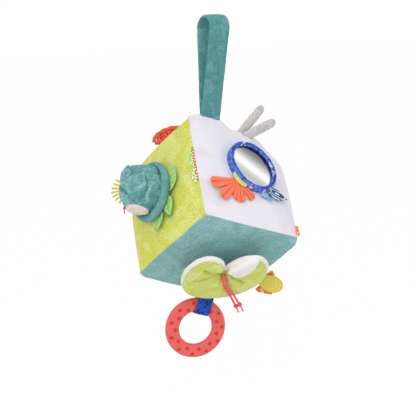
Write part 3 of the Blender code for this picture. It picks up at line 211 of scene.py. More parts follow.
view_back = Vector((
    sin(VIEW_AZIMUTH) * cos(VIEW_ELEVATION),
    -cos(VIEW_AZIMUTH) * cos(VIEW_ELEVATION),
    sin(VIEW_ELEVATION),
))
bpy.ops.object.camera_add(
    location=VIEW_CENTRE + view_back * VIEW_DISTANCE,
    rotation=view_back.to_track_quat("Z", "Y").to_euler(),
)
camera = bpy.context.object
camera.name = "camera"
camera.data.lens = VIEW_LENS
camera.data.shift_x, camera.data.shift_y = VIEW_SHIFT
scene.camera = camera


# Draw cords of the pocket: two cotton cords twisted from three strands, that come out of the pinched
# mouth and hang in front of the pocket. Each ends in an overhand knot with a short tail.
BLOCK_CENTRE = Vector((-0.005, 0, -0.232765))
BLOCK_PITCH = radians(20.5428)
HALF = 0.070
CORD_DIAMETER = 0.0022
CORD_STEP = 0.0006
CORD_STRANDS = 3
CORD_SIDES = 15
CORD_LAY = 0.0062
KNOT_RADIUS = 0.0021
TAIL_LENGTH = 0.0095
CORD_ROUTES = {
    "left": (
        (-0.0332, -0.0733, -0.2958), (-0.0289, -0.0729, -0.3124), (-0.0187, -0.0651, -0.3245),
        (-0.0095, -0.0595, -0.3362), (-0.0037, -0.0588, -0.3466),
    ),
    "right": (
        (-0.0292, -0.0747, -0.2958), (-0.0248, -0.0747, -0.3119), (-0.0146, -0.0669, -0.3241),
        (-0.0057, -0.0619, -0.3351), (-0.0008, -0.0627, -0.3436),
    ),
}

block_turn = Matrix.Rotation(BLOCK_PITCH, 3, "Y") @ Matrix.Rotation(radians(-45), 3, "X")
block_place = Matrix.Translation(BLOCK_CENTRE) @ block_turn.to_4x4()


def ease(value):
    """Smooth step from 0 to 1."""
    value = min(max(value, 0), 1)
    return value * value * (3 - 2 * value)


def grain(point, size, seed=0.0):
    """Smooth noise from -1 to 1 whose lumps have about that size."""
    return noise.noise(Vector(point) / size + Vector((seed, 2.7 * seed, -1.3 * seed)))


def add_piece(name, vertices, faces, place=None, flat=None):
    """Mesh object with its place in its mesh; flat gives each point's place on the cut cloth, in cm."""
    mesh = bpy.data.meshes.new(name)
    mesh.from_pydata([tuple(point) for point in vertices], [], faces)
    if flat:
        layer = mesh.uv_layers.new(name="cut")
        for loop in mesh.loops:
            layer.data[loop.index].uv = flat[loop.vertex_index][:2]
    if place:
        mesh.transform(place)
    mesh.shade_smooth()
    piece = bpy.data.objects.new(name, mesh)
    scene.collection.objects.link(piece)
    return piece


def finish_piece(piece, material, body, slot, *nodes):
    """Material, body, record slot and the solids that the piece stands for."""
    piece.data.materials.clear()
    piece.data.materials.append(material)
    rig.ride(piece, body)
    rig.slot(piece, slot)
    if nodes:
        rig.replaces(piece, *nodes)
    return piece


def smooth_line(route, spacing):
    """Points at about that spacing on a smooth line through the route's points."""
    route = [Vector(point) for point in route]
    ends = [2 * route[0] - route[1]] + route + [2 * route[-1] - route[-2]]
    points = []
    for index in range(1, len(ends) - 2):
        before, start, stop, after = ends[index - 1:index + 3]
        count = max(2, ceil((stop - start).length / spacing))
        for step in range(count):
            t = step / count
            bend = 2 * start + (stop - before) * t
            bend += (2 * before - 5 * start + 4 * stop - after) * t ** 2
            bend += (3 * start - before - 3 * stop + after) * t ** 3
            points.append(bend / 2)
    points.append(route[-1])
    return points


def line_length(points):
    """Length of the line through the points."""
    return sum((after - before).length for before, after in zip(points, points[1:]))


def sweep(points, section, closed=False):
    """Vertices and faces of a skin swept along the points; section(index, run) gives the outline there."""
    normal = (points[1] - points[0]).orthogonal().normalized()
    vertices = []
    run = 0
    sides = 0
    for index, point in enumerate(points):
        before = points[index - 1] if index or closed else point
        after = points[(index + 1) % len(points)] if index < len(points) - 1 or closed else point
        heading = (after - before).normalized()
        normal = (normal - heading * normal.dot(heading)).normalized()
        across = heading.cross(normal)
        if index:
            run += (point - points[index - 1]).length
        outline = section(index, run)
        sides = len(outline)
        vertices += [point + normal * x + across * y for x, y in outline]
    faces = []
    rows = len(points)
    for row in range(rows if closed else rows - 1):
        low = row * sides
        high = (row + 1) % rows * sides
        for side in range(sides):
            after = (side + 1) % sides
            faces.append((low + side, low + after, high + after, high + side))
    if not closed:
        faces.append(tuple(reversed(range(sides))))
        faces.append(tuple(range((rows - 1) * sides, rows * sides)))
    return vertices, faces


def strand_section(radius, lay, strands=CORD_STRANDS, sides=CORD_SIDES, shrink=None):
    """Section of a twisted cord: the strands' round bulges, turned along the run."""
    def section(index, run):
        size = radius * (shrink(run) if shrink else 1)
        outline = []
        for side in range(sides):
            turn = 2 * pi * side / sides
            bulge = 0.80 + 0.20 * abs(cos((turn - 2 * pi * run / lay) * strands / 2))
            outline.append((size * bulge * cos(turn), size * bulge * sin(turn)))
        return outline
    return section


def add_node(tree, kind, sockets=None, **settings):
    """Shader node with its settings, and with values or other nodes' outputs on its sockets."""
    node = tree.nodes.new("ShaderNode" + kind)
    for key, value in settings.items():
        setattr(node, key, value)
    for key, value in (sockets or {}).items():
        if isinstance(value, bpy.types.NodeSocket):
            tree.links.new(value, node.inputs[key])
        else:
            node.inputs[key].default_value = value
    return node


def mix_colours(tree, share, low, high):
    """Node that goes from the low colour to the high one by that share; its output is Result."""
    return add_node(tree, "Mix", {"Factor": share, "A": low, "B": high}, data_type="RGBA")


def math_node(tree, operation, first, second):
    """Node with that sum of two values; its output is outputs[0]."""
    return add_node(tree, "Math", {0: first, 1: second}, operation=operation)


def ramp_node(tree, value, low, high):
    """Node that goes from 0 to 1 while the value goes from low to high; its output is outputs[0]."""
    return add_node(tree, "MapRange", {"Value": value, "From Min": low, "From Max": high})


def new_finish(name, **settings):
    """Material with a principled shader; the settings go on the shader's own sockets."""
    material = bpy.data.materials.new(name)
    material.use_nodes = True
    tree = material.node_tree
    shader = tree.nodes["Principled BSDF"]
    for key, value in settings.items():
        shader.inputs[key.replace("_", " ")].default_value = value
    return material, tree, shader


def add_relief(tree, shader, strength, depth, height):
    """Bump on the shader's normal, from a height that another node gives."""
    relief = add_node(tree, "Bump", {"Strength": strength, "Distance": depth, "Height": height})
    tree.links.new(relief.outputs[0], shader.inputs["Normal"])


def new_effect(name, inputs, outputs):
    """Shader node group with those named inputs (name, kind, value) and outputs (name, kind)."""
    group = bpy.data.node_groups.new(name, "ShaderNodeTree")
    for label, kind, value in inputs:
        socket = group.interface.new_socket(name=label, in_out="INPUT", socket_type="NodeSocket" + kind)
        socket.default_value = value
    for label, kind in outputs:
        group.interface.new_socket(name=label, in_out="OUTPUT", socket_type="NodeSocket" + kind)
    return group, group.nodes.new("NodeGroupInput"), group.nodes.new("NodeGroupOutput")


def use_effect(tree, group, sockets):
    """That node group placed in a material, with its own values."""
    return add_node(tree, "Group", sockets, node_tree=group)


# Fibre grain: fine threads in a cord, felt or thin cloth, with a little change of shade
fibre_grain, fibre_in, fibre_out = new_effect(
    "fibre_grain",
    (("Colour", "Color", (1, 1, 1, 1)), ("Shade", "Color", (0, 0, 0, 1)), ("Scale", "Float", 900.0),
     ("Mottle", "Float", 0.4)),
    (("Colour", "Color"), ("Height", "Float")),
)
fibre_spot = add_node(fibre_grain, "TexCoord").outputs["Object"]
fibre_fine = add_node(fibre_grain, "TexNoise", {
    "Vector": fibre_spot, "Scale": fibre_in.outputs["Scale"], "Detail": 3.0, "Roughness": 0.65, "Distortion": 0.6})
fibre_wide = add_node(fibre_grain, "TexNoise", {
    "Vector": fibre_spot, "Scale": 60.0, "Detail": 3.0, "Roughness": 0.6})
fibre_sum = math_node(fibre_grain, "ADD", fibre_fine.outputs["Fac"], fibre_wide.outputs["Fac"])
fibre_mask = add_node(fibre_grain, "MapRange", {
    "Value": fibre_sum.outputs[0], "From Min": 0.7, "From Max": 1.3, "To Max": fibre_in.outputs["Mottle"]})
fibre_mix = mix_colours(
    fibre_grain, fibre_mask.outputs[0], fibre_in.outputs["Colour"], fibre_in.outputs["Shade"])
fibre_grain.links.new(fibre_mix.outputs["Result"], fibre_out.inputs["Colour"])
fibre_grain.links.new(fibre_fine.outputs["Fac"], fibre_out.inputs["Height"])


def fibre_finish(name, colour, shade, scale=900.0, mottle=0.4, bump=0.25, depth=0.0003, **settings):
    """Thin cloth, felt or cord with a fine grain."""
    settings = {"Roughness": 0.9, "Sheen_Weight": 0.25, **settings}
    material, tree, shader = new_finish(name, **settings)
    grain_node = use_effect(tree, fibre_grain, {
        "Colour": (*colour, 1), "Shade": (*shade, 1), "Scale": scale, "Mottle": mottle})
    tree.links.new(grain_node.outputs["Colour"], shader.inputs["Base Color"])
    add_relief(tree, shader, bump, depth, grain_node.outputs["Height"])
    return material


cord_cotton = fibre_finish("cord_cotton", (0.88, 0.085, 0.135), (0.68, 0.030, 0.070), scale=1400.0)
cord_pieces = {}
for side, route in CORD_ROUTES.items():
    line = smooth_line(route, CORD_STEP)
    vertices, faces = sweep(line, strand_section(CORD_DIAMETER * 0.62, CORD_LAY))
    cord = add_piece("cord_" + side, vertices, faces)
    finish_piece(cord, cord_cotton, "block", "red_cord", "draw_cord_" + side)

    # The knot is a threefold turn of the cord drawn tight, and the tail splays a little at its cut end
    run = (line[-1] - line[-2]).normalized()
    aside = run.orthogonal().normalized()
    over = run.cross(aside)
    middle = line[-1] + run * KNOT_RADIUS
    turns = []
    for step in range(72):
        t = 2 * pi * step / 72
        ring = (2 + cos(3 * t)) / 3
        turns.append(
            middle + aside * KNOT_RADIUS * ring * cos(2 * t) + over * KNOT_RADIUS * ring * sin(2 * t)
            + run * KNOT_RADIUS * 0.55 * sin(3 * t)
        )
    vertices, faces = sweep(turns, strand_section(CORD_DIAMETER * 0.52, CORD_LAY, sides=10), closed=True)
    tail_root = middle + run * KNOT_RADIUS * 0.5
    tail_bend = tail_root + run * TAIL_LENGTH * 0.5 + aside * 0.0004
    tail_end = tail_root + run * TAIL_LENGTH + over * 0.0007
    tail_line = smooth_line((tail_root, tail_bend, tail_end), CORD_STEP)
    tail_long = line_length(tail_line)
    more, more_faces = sweep(tail_line, strand_section(
        CORD_DIAMETER * 0.42, CORD_LAY, shrink=lambda reach: 1 + 0.35 * ease((reach / tail_long - 0.7) / 0.3)))
    faces += [tuple(index + len(vertices) for index in face) for face in more_faces]
    knot = add_piece("knot_" + side, vertices + more, faces)
    finish_piece(knot, cord_cotton, "block", "red_cord", "draw_knot_" + side)
    cord_pieces[side] = knot
    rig.cord(
        cord, exit=tuple(line[0]), length=round(line_length(line), 4), diameter=CORD_DIAMETER, far_end="knot",
        stiffness="limp", lay="hanging", path=[tuple(point) for point in line], with_pieces=[knot],
    )


# Short cord in the seam behind the head: it comes out of the seam between the lime face and the hidden
# teal face, drops down the corner and ends in a knot.
BACK_DIAMETER = 0.0018
BACK_ROUTE = (
    (-0.0728, 0.0912, -0.2181), (-0.0786, 0.0948, -0.2203), (-0.0800, 0.0957, -0.2290), (-0.0803, 0.0959, -0.2375),
    (-0.0803, 0.0959, -0.2461),
)
BACK_KNOT_RADIUS = 0.0018
BACK_TAIL = 0.0075


back_line = smooth_line(BACK_ROUTE, CORD_STEP)
vertices, faces = sweep(back_line, strand_section(BACK_DIAMETER / 2, CORD_LAY))
back_cord = add_piece("cord_behind_head", vertices, faces)
finish_piece(back_cord, cord_cotton, "block", "red_cord", "back_cord")
back_run = (back_line[-1] - back_line[-2]).normalized()
back_aside = back_run.orthogonal().normalized()
back_over = back_run.cross(back_aside)
back_middle = back_line[-1] + back_run * BACK_KNOT_RADIUS
back_turns = []
for step in range(60):
    t = 2 * pi * step / 60
    ring = BACK_KNOT_RADIUS * 0.8 * (2 + cos(3 * t)) / 3
    back_turns.append(
        back_middle + (back_aside * cos(2 * t) + back_over * sin(2 * t)) * ring
        + back_run * BACK_KNOT_RADIUS * 0.5 * sin(3 * t)
    )
vertices, faces = sweep(back_turns, strand_section(BACK_DIAMETER * 0.42, CORD_LAY, sides=10), closed=True)
back_tail = smooth_line((
    back_middle, back_middle + back_run * BACK_TAIL * 0.5 + back_aside * 0.0006, back_middle + back_run * BACK_TAIL,
), CORD_STEP)
more, more_faces = sweep(back_tail, strand_section(BACK_DIAMETER * 0.45, CORD_LAY))
faces += [tuple(index + len(vertices) for index in face) for face in more_faces]
back_knot = add_piece("knot_behind_head", vertices + more, faces)
finish_piece(back_knot, cord_cotton, "block", "red_cord", "back_cord_knot")
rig.cord(
    back_cord, exit=tuple(back_line[0]), length=round(line_length(back_line), 4), diameter=BACK_DIAMETER,
    far_end="knot", stiffness="limp", lay="hanging", path=[tuple(point) for point in back_line],
    with_pieces=[back_knot],
)


# Block: six sewn panels over a fibre filling. The panels are cut square and sewn inside out, so each seam
# lies in a small valley between rolled edges, with the gathers and soft folds of a stuffed cube.
# The filling sags towards the lower right and the lower back edge.
EDGE_BOW = 0.0015
CROWN = 0.011
CROWN_SHARE = 3
SEAM_SHARE = 8
CORNER_DRAW = 0.0015
CORNER_SHARE = 6
SEWN_BOW = 0.0032
SEWN_DRAW = -0.0014
STRAP_OFFSET = 0.0415
STRAP_PULL = 0.009
PULL_REACH = 0.026
PANEL_CELLS = 84
PANEL_CLOSER = 0.35
PANEL_THICK = 0.0018
SEAM_GAP = 0.0003
EDGE_ROLL = 0.0032
VALLEY_DEPTH = 0.0008
VALLEY_REACH = 0.0011
GATHER_SIZE = 0.0075
GATHER_DEPTH = 0.0013
GATHER_REACH = 0.0085
FOLD_SIZE = 0.020
FOLD_DEPTH = 0.0016
FOLD_REACH = 0.034
SOFT_SIZE = 0.040
SOFT_DEPTH = 0.0013
TUCK_DEPTH = 0.0022
TUCK_REACH = 0.0060
BLUNT_CORNER = Vector((1, -1, 1))
BLUNT_DRAW = 0.0065
BLUNT_REACH = 0.022
SAG_DOWN = 0.0055
SAG_RIGHT = 0.0030
SAG_BACK = 0.0042
SAG_START = 0.62
SAG_CORNER = 0.16
SAG_LEFT = 0.14
SAG_HEIGHT = 2.5
MIRROR_SPOT = (0.005, 0.008)
SEWN_RINGS = {"left": (0, 0, 0.0335), "front": (*MIRROR_SPOT, 0.0362), "bottom": (0, 0, 0.0415)}
QUARTER = radians(90)
FACE_TURNS = {
    "left": Matrix.Rotation(-QUARTER, 3, "Z") @ Matrix.Rotation(QUARTER, 3, "X"),
    "right": Matrix.Rotation(QUARTER, 3, "Z") @ Matrix.Rotation(QUARTER, 3, "X"),
    "front": Matrix.Rotation(QUARTER, 3, "X"),
    "back": Matrix.Rotation(2 * QUARTER, 3, "Z") @ Matrix.Rotation(QUARTER, 3, "X"),
    "top": Matrix.Identity(3),
    "bottom": Matrix.Rotation(2 * QUARTER, 3, "X"),
}
face_places = {
    face: block_place @ turn.to_4x4() @ Matrix.Translation((0, 0, HALF)) for face, turn in FACE_TURNS.items()
}


def srgb(red, green, blue):
    """Linear colour of a colour that is given as it looks on a screen, each channel from 0 to 255."""
    return tuple((value / 255 / 12.92) if value <= 10 else ((value / 255 + 0.055) / 1.055) ** 2.4
                 for value in (red, green, blue))


def skin_point(unit):
    """Point of the swollen skin for a point of the unit cube's surface, in the block's frame."""
    size = [min(abs(value), 1) for value in unit]
    side = [1 if value >= 0 else -1 for value in unit]
    point = Vector(unit) * HALF
    for axis in range(3):
        one = (axis + 1) % 3
        two = (axis + 2) % 3
        point[axis] += side[axis] * CROWN * (1 - size[one] ** CROWN_SHARE) * (1 - size[two] ** CROWN_SHARE)
        bow = SEWN_BOW * (1 - size[axis] ** 2) * (size[one] * size[two]) ** SEAM_SHARE
        point[one] += side[one] * bow
        point[two] += side[two] * bow
    point -= Vector(side) * SEWN_DRAW * (size[0] * size[1] * size[2]) ** CORNER_SHARE
    away = (Vector(unit) - BLUNT_CORNER).length * HALF
    point -= BLUNT_CORNER * BLUNT_DRAW * exp(-(away / BLUNT_REACH) ** 2)
    low = max(0, -unit[2]) ** SAG_HEIGHT
    right = ease((unit[0] - SAG_START) / (1 - SAG_START)) * ease((unit[1] + 1) / SAG_CORNER) * low
    back = ease((unit[1] - SAG_START) / (1 - SAG_START)) * (0.5 + ease((unit[0] + 1) / SAG_LEFT) / 2) * low
    point += Vector((SAG_RIGHT * right, SAG_BACK * back, -SAG_DOWN * max(right, back)))
    lift = (max(0, -unit[1]) * max(0, unit[2])) ** 4
    pull = STRAP_PULL * lift * exp(-((unit[0] * HALF + STRAP_OFFSET) / PULL_REACH) ** 4)
    return point + Vector((0, -1, 1)).normalized() * pull


def skin_rise(x, y):
    """Height of a face's skin above its flat plane."""
    a = min(abs(x) / HALF, 1)
    b = min(abs(y) / HALF, 1)
    crown = CROWN * (1 - a ** CROWN_SHARE) * (1 - b ** CROWN_SHARE)
    bow = EDGE_BOW * ((1 - b ** 2) * a ** SEAM_SHARE + (1 - a ** 2) * b ** SEAM_SHARE)
    return crown + bow - CORNER_DRAW * (a * b) ** CORNER_SHARE


def panel_point(face, u, v):
    """Point of a sewn panel in the block's frame, with its rolled edges, gathers and folds."""
    turn = FACE_TURNS[face]
    seed = 3.1 * list(FACE_TURNS).index(face)
    point = skin_point(turn @ Vector((u, v, 1)))
    normal = turn @ Vector((0, 0, 1))
    inward = SOFT_DEPTH * (1 + grain((u * HALF, v * HALF, seed), SOFT_SIZE)) / 2
    for value, along, direction in ((u, v, Vector((1, 0, 0))), (v, u, Vector((0, 1, 0)))):
        side = 1 if value > 0 else -1
        away = (1 - abs(value)) * HALF
        toward = turn @ direction * side
        if away < EDGE_ROLL:
            bend = radians(45) * (1 - away / EDGE_ROLL)
            point += toward * (away - EDGE_ROLL + EDGE_ROLL * sin(bend))
            point -= normal * (EDGE_ROLL - EDGE_ROLL * cos(bend))
        point -= (toward + normal).normalized() * VALLEY_DEPTH * exp(-(away / VALLEY_REACH) ** 2)
        run = along * HALF
        row = seed + 5.3 * (side + 1) + direction.x
        gather = 0.5 + 0.5 * grain((run, away * 0.4, row), GATHER_SIZE)
        near = exp(-(away / GATHER_REACH) ** 2) * (1 - exp(-(away / VALLEY_REACH) ** 2))
        inward += GATHER_DEPTH * gather * near
        fold = 0.5 + 0.5 * grain((run, away * 0.22, row + 2), FOLD_SIZE)
        inward += FOLD_DEPTH * fold * fold * exp(-(away / FOLD_REACH) ** 2) * (1 - exp(-(away / EDGE_ROLL) ** 2))
    if face == "right":
        inward += TUCK_DEPTH * exp(-(((1 + u) * HALF) / TUCK_REACH) ** 2)
    if face in SEWN_RINGS:
        x, y, radius = SEWN_RINGS[face]
        reach = hypot(u * HALF - x, v * HALF - y)
        turned = atan2(v * HALF - y, u * HALF - x)
        pucker = 0.6 + 0.4 * grain((cos(turned) * radius, sin(turned) * radius, seed + 9), 0.008)
        inward += 0.0012 * pucker * exp(-((reach - radius) / 0.0055) ** 2)
    return point - normal * inward


def cloth_panel(name, face):
    """Closed panel of that face: the outer skin, its turned-in rim and the inner side of the cloth."""
    count = PANEL_CELLS + 1
    steps = []
    for index in range(count):
        t = 2 * index / PANEL_CELLS - 1
        steps.append((t * (1 - PANEL_CLOSER) + sin(t * pi / 2) * PANEL_CLOSER) * (1 - SEAM_GAP / HALF))
    outer = [panel_point(face, u, v) for v in steps for u in steps]
    inner = [point * (1 - PANEL_THICK / HALF) for point in outer]
    flat = [(u * HALF * 100, v * HALF * 100) for v in steps for u in steps] * 2
    faces = []
    total = len(outer)
    for row in range(PANEL_CELLS):
        for cell in range(PANEL_CELLS):
            low = row * count + cell
            faces.append((low, low + 1, low + count + 1, low + count))
            faces.append((low + total, low + count + total, low + count + 1 + total, low + 1 + total))
    rim = [cell for cell in range(count)]
    rim += [row * count + count - 1 for row in range(1, count)]
    rim += [(count - 1) * count + cell for cell in range(count - 2, -1, -1)]
    rim += [row * count for row in range(count - 2, 0, -1)]
    for here, after in zip(rim, rim[1:] + rim[:1]):
        faces.append((here, here + total, after + total, after))
    return add_piece(name, outer + inner, faces, block_place, flat)


# Velour pile: patches where the pile lies the other way, painted lighter as sheen, a soft grain and fine fibres
velour_pile, pile_in, pile_out = new_effect(
    "velour_pile",
    (("Colour", "Color", (1, 1, 1, 1)), ("Brushed", "Color", (1, 1, 1, 1)), ("Deep", "Color", (0, 0, 0, 1)),
     ("Patch", "Float", 26.0), ("Brushing", "Float", 0.8), ("Grain", "Float", 480.0)),
    (("Colour", "Color"), ("Height", "Float")),
)
pile_spot = add_node(velour_pile, "TexCoord").outputs["Object"]
pile_patch = add_node(velour_pile, "TexNoise", {
    "Vector": pile_spot, "Scale": pile_in.outputs["Patch"], "Detail": 5.0, "Roughness": 0.62, "Distortion": 1.4})
# Painted sheen: where the pile lies the other way, the colour is mixed towards the lighter sheen colour.
pile_sheen_mask = add_node(velour_pile, "MapRange", {
    "Value": pile_patch.outputs["Fac"], "From Min": 0.44, "From Max": 0.62, "To Max": pile_in.outputs["Brushing"]},
    interpolation_type="SMOOTHSTEP")
pile_grain = add_node(velour_pile, "TexNoise", {
    "Vector": pile_spot, "Scale": pile_in.outputs["Grain"], "Detail": 3.0, "Roughness": 0.6})
pile_dark = add_node(velour_pile, "MapRange", {
    "Value": pile_grain.outputs["Fac"], "From Min": 0.56, "From Max": 0.38, "To Max": 0.55},
    interpolation_type="SMOOTHSTEP")
pile_light = mix_colours(
    velour_pile, pile_sheen_mask.outputs[0], pile_in.outputs["Colour"], pile_in.outputs["Brushed"])
pile_shade = mix_colours(
    velour_pile, pile_dark.outputs[0], pile_light.outputs["Result"], pile_in.outputs["Deep"])
pile_fine = add_node(velour_pile, "TexNoise", {
    "Vector": pile_spot, "Scale": 1900.0, "Detail": 2.0, "Roughness": 0.7})
pile_height = math_node(velour_pile, "ADD", pile_grain.outputs["Fac"], pile_fine.outputs["Fac"])
velour_pile.links.new(pile_shade.outputs["Result"], pile_out.inputs["Colour"])
velour_pile.links.new(pile_height.outputs[0], pile_out.inputs["Height"])


def velour_finish(name, colour, sheen_colour, deep, patch=26.0, sheen_share=0.8, grain_scale=480.0, bump=0.5, depth=0.0006,
                  sheen=0.35):
    """Short-piled velour, whose patches carry painted sheen."""
    material, tree, shader = new_finish(name, Roughness=0.95, Sheen_Weight=sheen, Sheen_Roughness=0.45,
                                        Sheen_Tint=(*sheen_colour, 1), Specular_IOR_Level=0.2)
    pile = use_effect(tree, velour_pile, {
        "Colour": (*colour, 1), "Brushed": (*sheen_colour, 1), "Deep": (*deep, 1), "Patch": patch, "Brushing": sheen_share,
        "Grain": grain_scale})
    tree.links.new(pile.outputs["Colour"], shader.inputs["Base Color"])
    add_relief(tree, shader, bump, depth, pile.outputs["Height"])
    return material


# Plain weave: threads over and under each other on the cloth as it was cut
plain_weave, weave_in, weave_out = new_effect(
    "plain_weave", (("Threads", "Float", 16.0),), (("Height", "Float"), ("Slub", "Float")))
weave_spot = add_node(plain_weave, "UVMap", uv_map="cut").outputs[0]
weave_apart = add_node(plain_weave, "SeparateXYZ", {0: weave_spot})
weave_turns = math_node(plain_weave, "MULTIPLY", weave_in.outputs[0], pi)
weave_waves = []
for axis in (0, 1):
    place_along = math_node(plain_weave, "MULTIPLY", weave_apart.outputs[axis], weave_turns.outputs[0])
    wave = add_node(plain_weave, "Math", {0: place_along.outputs[0]}, operation="SINE")
    weave_waves.append(wave.outputs[0])
weave_cross = math_node(plain_weave, "MULTIPLY", weave_waves[0], weave_waves[1])
weave_slub = add_node(plain_weave, "TexNoise", {
    "Vector": weave_spot, "Scale": 2.2, "Detail": 5.0, "Roughness": 0.7})
plain_weave.links.new(weave_cross.outputs[0], weave_out.inputs["Height"])
plain_weave.links.new(weave_slub.outputs["Fac"], weave_out.inputs["Slub"])


def woven_finish(name, colour, shade, threads=16.0, bump=0.25, depth=0.0002, patches=0.0, **settings):
    """Plain woven cotton of one colour; patches is the share of wide soft shading."""
    settings = {"Roughness": 0.9, "Sheen_Weight": 0.15, "Specular_IOR_Level": 0.25, **settings}
    material, tree, shader = new_finish(name, **settings)
    weave = use_effect(tree, plain_weave, {"Threads": threads})
    wide = add_node(tree, "TexNoise", {
        "Vector": add_node(tree, "TexCoord").outputs["Object"], "Scale": 17.0, "Detail": 1.5, "Roughness": 0.5})
    spread = add_node(tree, "MapRange", {
        "Value": wide.outputs["Fac"], "From Min": 0.40, "From Max": 0.66, "To Max": patches},
        interpolation_type="SMOOTHSTEP")
    slub = add_node(tree, "MapRange", {"Value": weave.outputs["Slub"], "To Max": 0.45})
    both = math_node(tree, "MAXIMUM", spread.outputs[0], slub.outputs[0])
    mix = mix_colours(tree, both.outputs[0], (*colour, 1), (*shade, 1))
    tree.links.new(mix.outputs["Result"], shader.inputs["Base Color"])
    add_relief(tree, shader, bump, depth, weave.outputs["Height"])
    return material


lime_velour = velour_finish(
    "lime_velour", srgb(212, 214, 98), srgb(230, 232, 150), srgb(178, 186, 70), patch=22.0)
teal_velour = velour_finish(
    "teal_velour", srgb(134, 180, 181), srgb(160, 198, 198), srgb(96, 146, 148), patch=22.0)
white_cotton = woven_finish("white_cotton", srgb(233, 231, 238), srgb(200, 196, 208), patches=0.55)
cream_cotton = woven_finish("cream_cotton", srgb(240, 234, 222), srgb(230, 222, 208))
PANELS = {
    "left": ("panel_lime_left", lime_velour, "lime_velour", 0.8),
    "right": ("panel_lime_right", lime_velour, "lime_velour", 0.8),
    "front": ("panel_white_front", white_cotton, "white_cotton", 0.8),
    "top": ("panel_cream_top", cream_cotton, "cream_cotton", 0.8),
    "bottom": ("panel_teal_bottom", teal_velour, "teal_velour", 0.8),
    "back": ("panel_teal_back", teal_velour, "teal_velour", 0.8),
}
for face, (node, material, slot, fill) in PANELS.items():
    panel = cloth_panel("sewn_" + node, face)
    finish_piece(panel, material, "block", slot, *([node, "stuffing"] if face == "top" else [node]))
    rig.padded(panel, fill=fill)


# Strap: a tube of teal velour, sewn along its edges and turned, folded to a loop and sewn into the seam
# between the white and cream faces. It narrows to its sewn root and bends freely there.
STRAP_FOOT = Vector((-0.005, 0, -0.1145))
STRAP_WIDTH = 0.0268
STRAP_THICK = 0.0045
STRAP_HEIGHT = 0.119
STRAP_DEPTH = 0.034
STRAP_NECK = 0.009
STRAP_NECK_HALF = 0.0050
STRAP_ROOT_HALF = 0.0020
STRAP_TUCK = 0.0050
STRAP_LEAN = 0.005
STRAP_BEND = 0.030
STRAP_ROW = 0.0012
STRAP_SIDES = 44

strap_top = STRAP_DEPTH / 2 - STRAP_THICK / 2
strap_shoulder = STRAP_HEIGHT - STRAP_DEPTH / 2
leg = [Vector((0, STRAP_ROOT_HALF * 0.55, -STRAP_TUCK)), Vector((0, STRAP_ROOT_HALF * 0.7, 0))]
for step in range(8):
    t = step / 8
    middle = STRAP_NECK_HALF - STRAP_THICK / 2 + (strap_top - STRAP_NECK_HALF + STRAP_THICK / 2) * t
    leg.append(Vector((0, middle, STRAP_NECK + (strap_shoulder - STRAP_NECK) * t)))
arch = [Vector((0, strap_top * cos(pi * step / 10), strap_shoulder + strap_top * sin(pi * step / 10)))
        for step in range(11)]
strap_line = smooth_line(
    [Vector((0, -point.y, point.z)) for point in leg]
    + [Vector((0, -point.y, point.z)) for point in arch] + list(reversed(leg)), STRAP_ROW)
strap_long = line_length(strap_line)


def strap_vertices():
    """Rows of the strap's flattened tube along its loop, with soft puckers along both edges."""
    rows = []
    run = 0
    for index, point in enumerate(strap_line):
        before = strap_line[max(index - 1, 0)]
        after = strap_line[min(index + 1, len(strap_line) - 1)]
        heading = (after - before).normalized()
        out = Vector((0, heading.z, -heading.y))
        if index:
            run += (point - strap_line[index - 1]).length
        near_root = min(run, strap_long - run)
        thick = STRAP_THICK * (0.42 + 0.58 * ease(near_root / 0.016))
        row = []
        for side in range(STRAP_SIDES):
            turn = 2 * pi * side / STRAP_SIDES
            across = STRAP_WIDTH / 2 * (abs(cos(turn)) ** 0.72) * (1 if cos(turn) >= 0 else -1)
            lift = thick / 2 * (abs(sin(turn)) ** 0.62) * (1 if sin(turn) >= 0 else -1)
            edge = abs(across) / (STRAP_WIDTH / 2)
            pucker = grain((run, across * 0.5, 4 if across > 0 else 8), 0.0055) * edge ** 4
            wave = grain((run, across * 1.2, 15), 0.017)
            across *= 1 + 0.030 * pucker
            lift *= 1 - 0.34 * max(0, pucker) - 0.10 * (1 + wave) * (1 - edge ** 6)
            sway = 0.0007 * grain((run, 0, 31), 0.045)
            spot = point + out * (lift + sway)
            height = spot.z
            bend = 1 - ease(height / STRAP_BEND)
            row.append(Vector((
                across + STRAP_LEAN * max(height / STRAP_HEIGHT, 0),
                spot.y,
                height - tan(BLOCK_PITCH) * across * bend,
            )))
        rows.append(row)
    return rows


strap_rows = strap_vertices()
strap_flat = []
strap_points = []
for index, row in enumerate(strap_rows):
    for side, point in enumerate(row):
        strap_points.append(point)
        strap_flat.append((side * 0.14, index * STRAP_ROW * 100))
strap_faces = []
for index in range(len(strap_rows) - 1):
    for side in range(STRAP_SIDES):
        after = (side + 1) % STRAP_SIDES
        low = index * STRAP_SIDES
        strap_faces.append((low + side, low + STRAP_SIDES + side, low + STRAP_SIDES + after, low + after))
strap_faces.append(tuple(range(STRAP_SIDES)))
strap_faces.append(tuple(reversed(range(len(strap_points) - STRAP_SIDES, len(strap_points)))))


def outward(piece):
    """Turns the faces of a closed mesh outward."""
    shape = bmesh.new()
    shape.from_mesh(piece.data)
    bmesh.ops.recalc_face_normals(shape, faces=shape.faces)
    shape.to_mesh(piece.data)
    shape.free()
    return piece


strap = outward(add_piece("strap", strap_points, strap_faces, Matrix.Translation(STRAP_FOOT), strap_flat))
strap_velour = velour_finish("strap_velour", srgb(88, 148, 146), srgb(116, 174, 172), srgb(52, 106, 106),
                             patch=40.0, sheen_share=0.7, grain_scale=620.0)
strap.data.materials.append(strap_velour)
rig.slot(strap, "strap_velour")
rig.replaces(strap, "strap_loop")
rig.padded(strap, fill=0.4)
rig.blend(strap, "block", "strap", start=tuple(STRAP_FOOT - Vector((0, 0, 0.002))),
         end=tuple(STRAP_FOOT + Vector((0, 0, 0.012))))
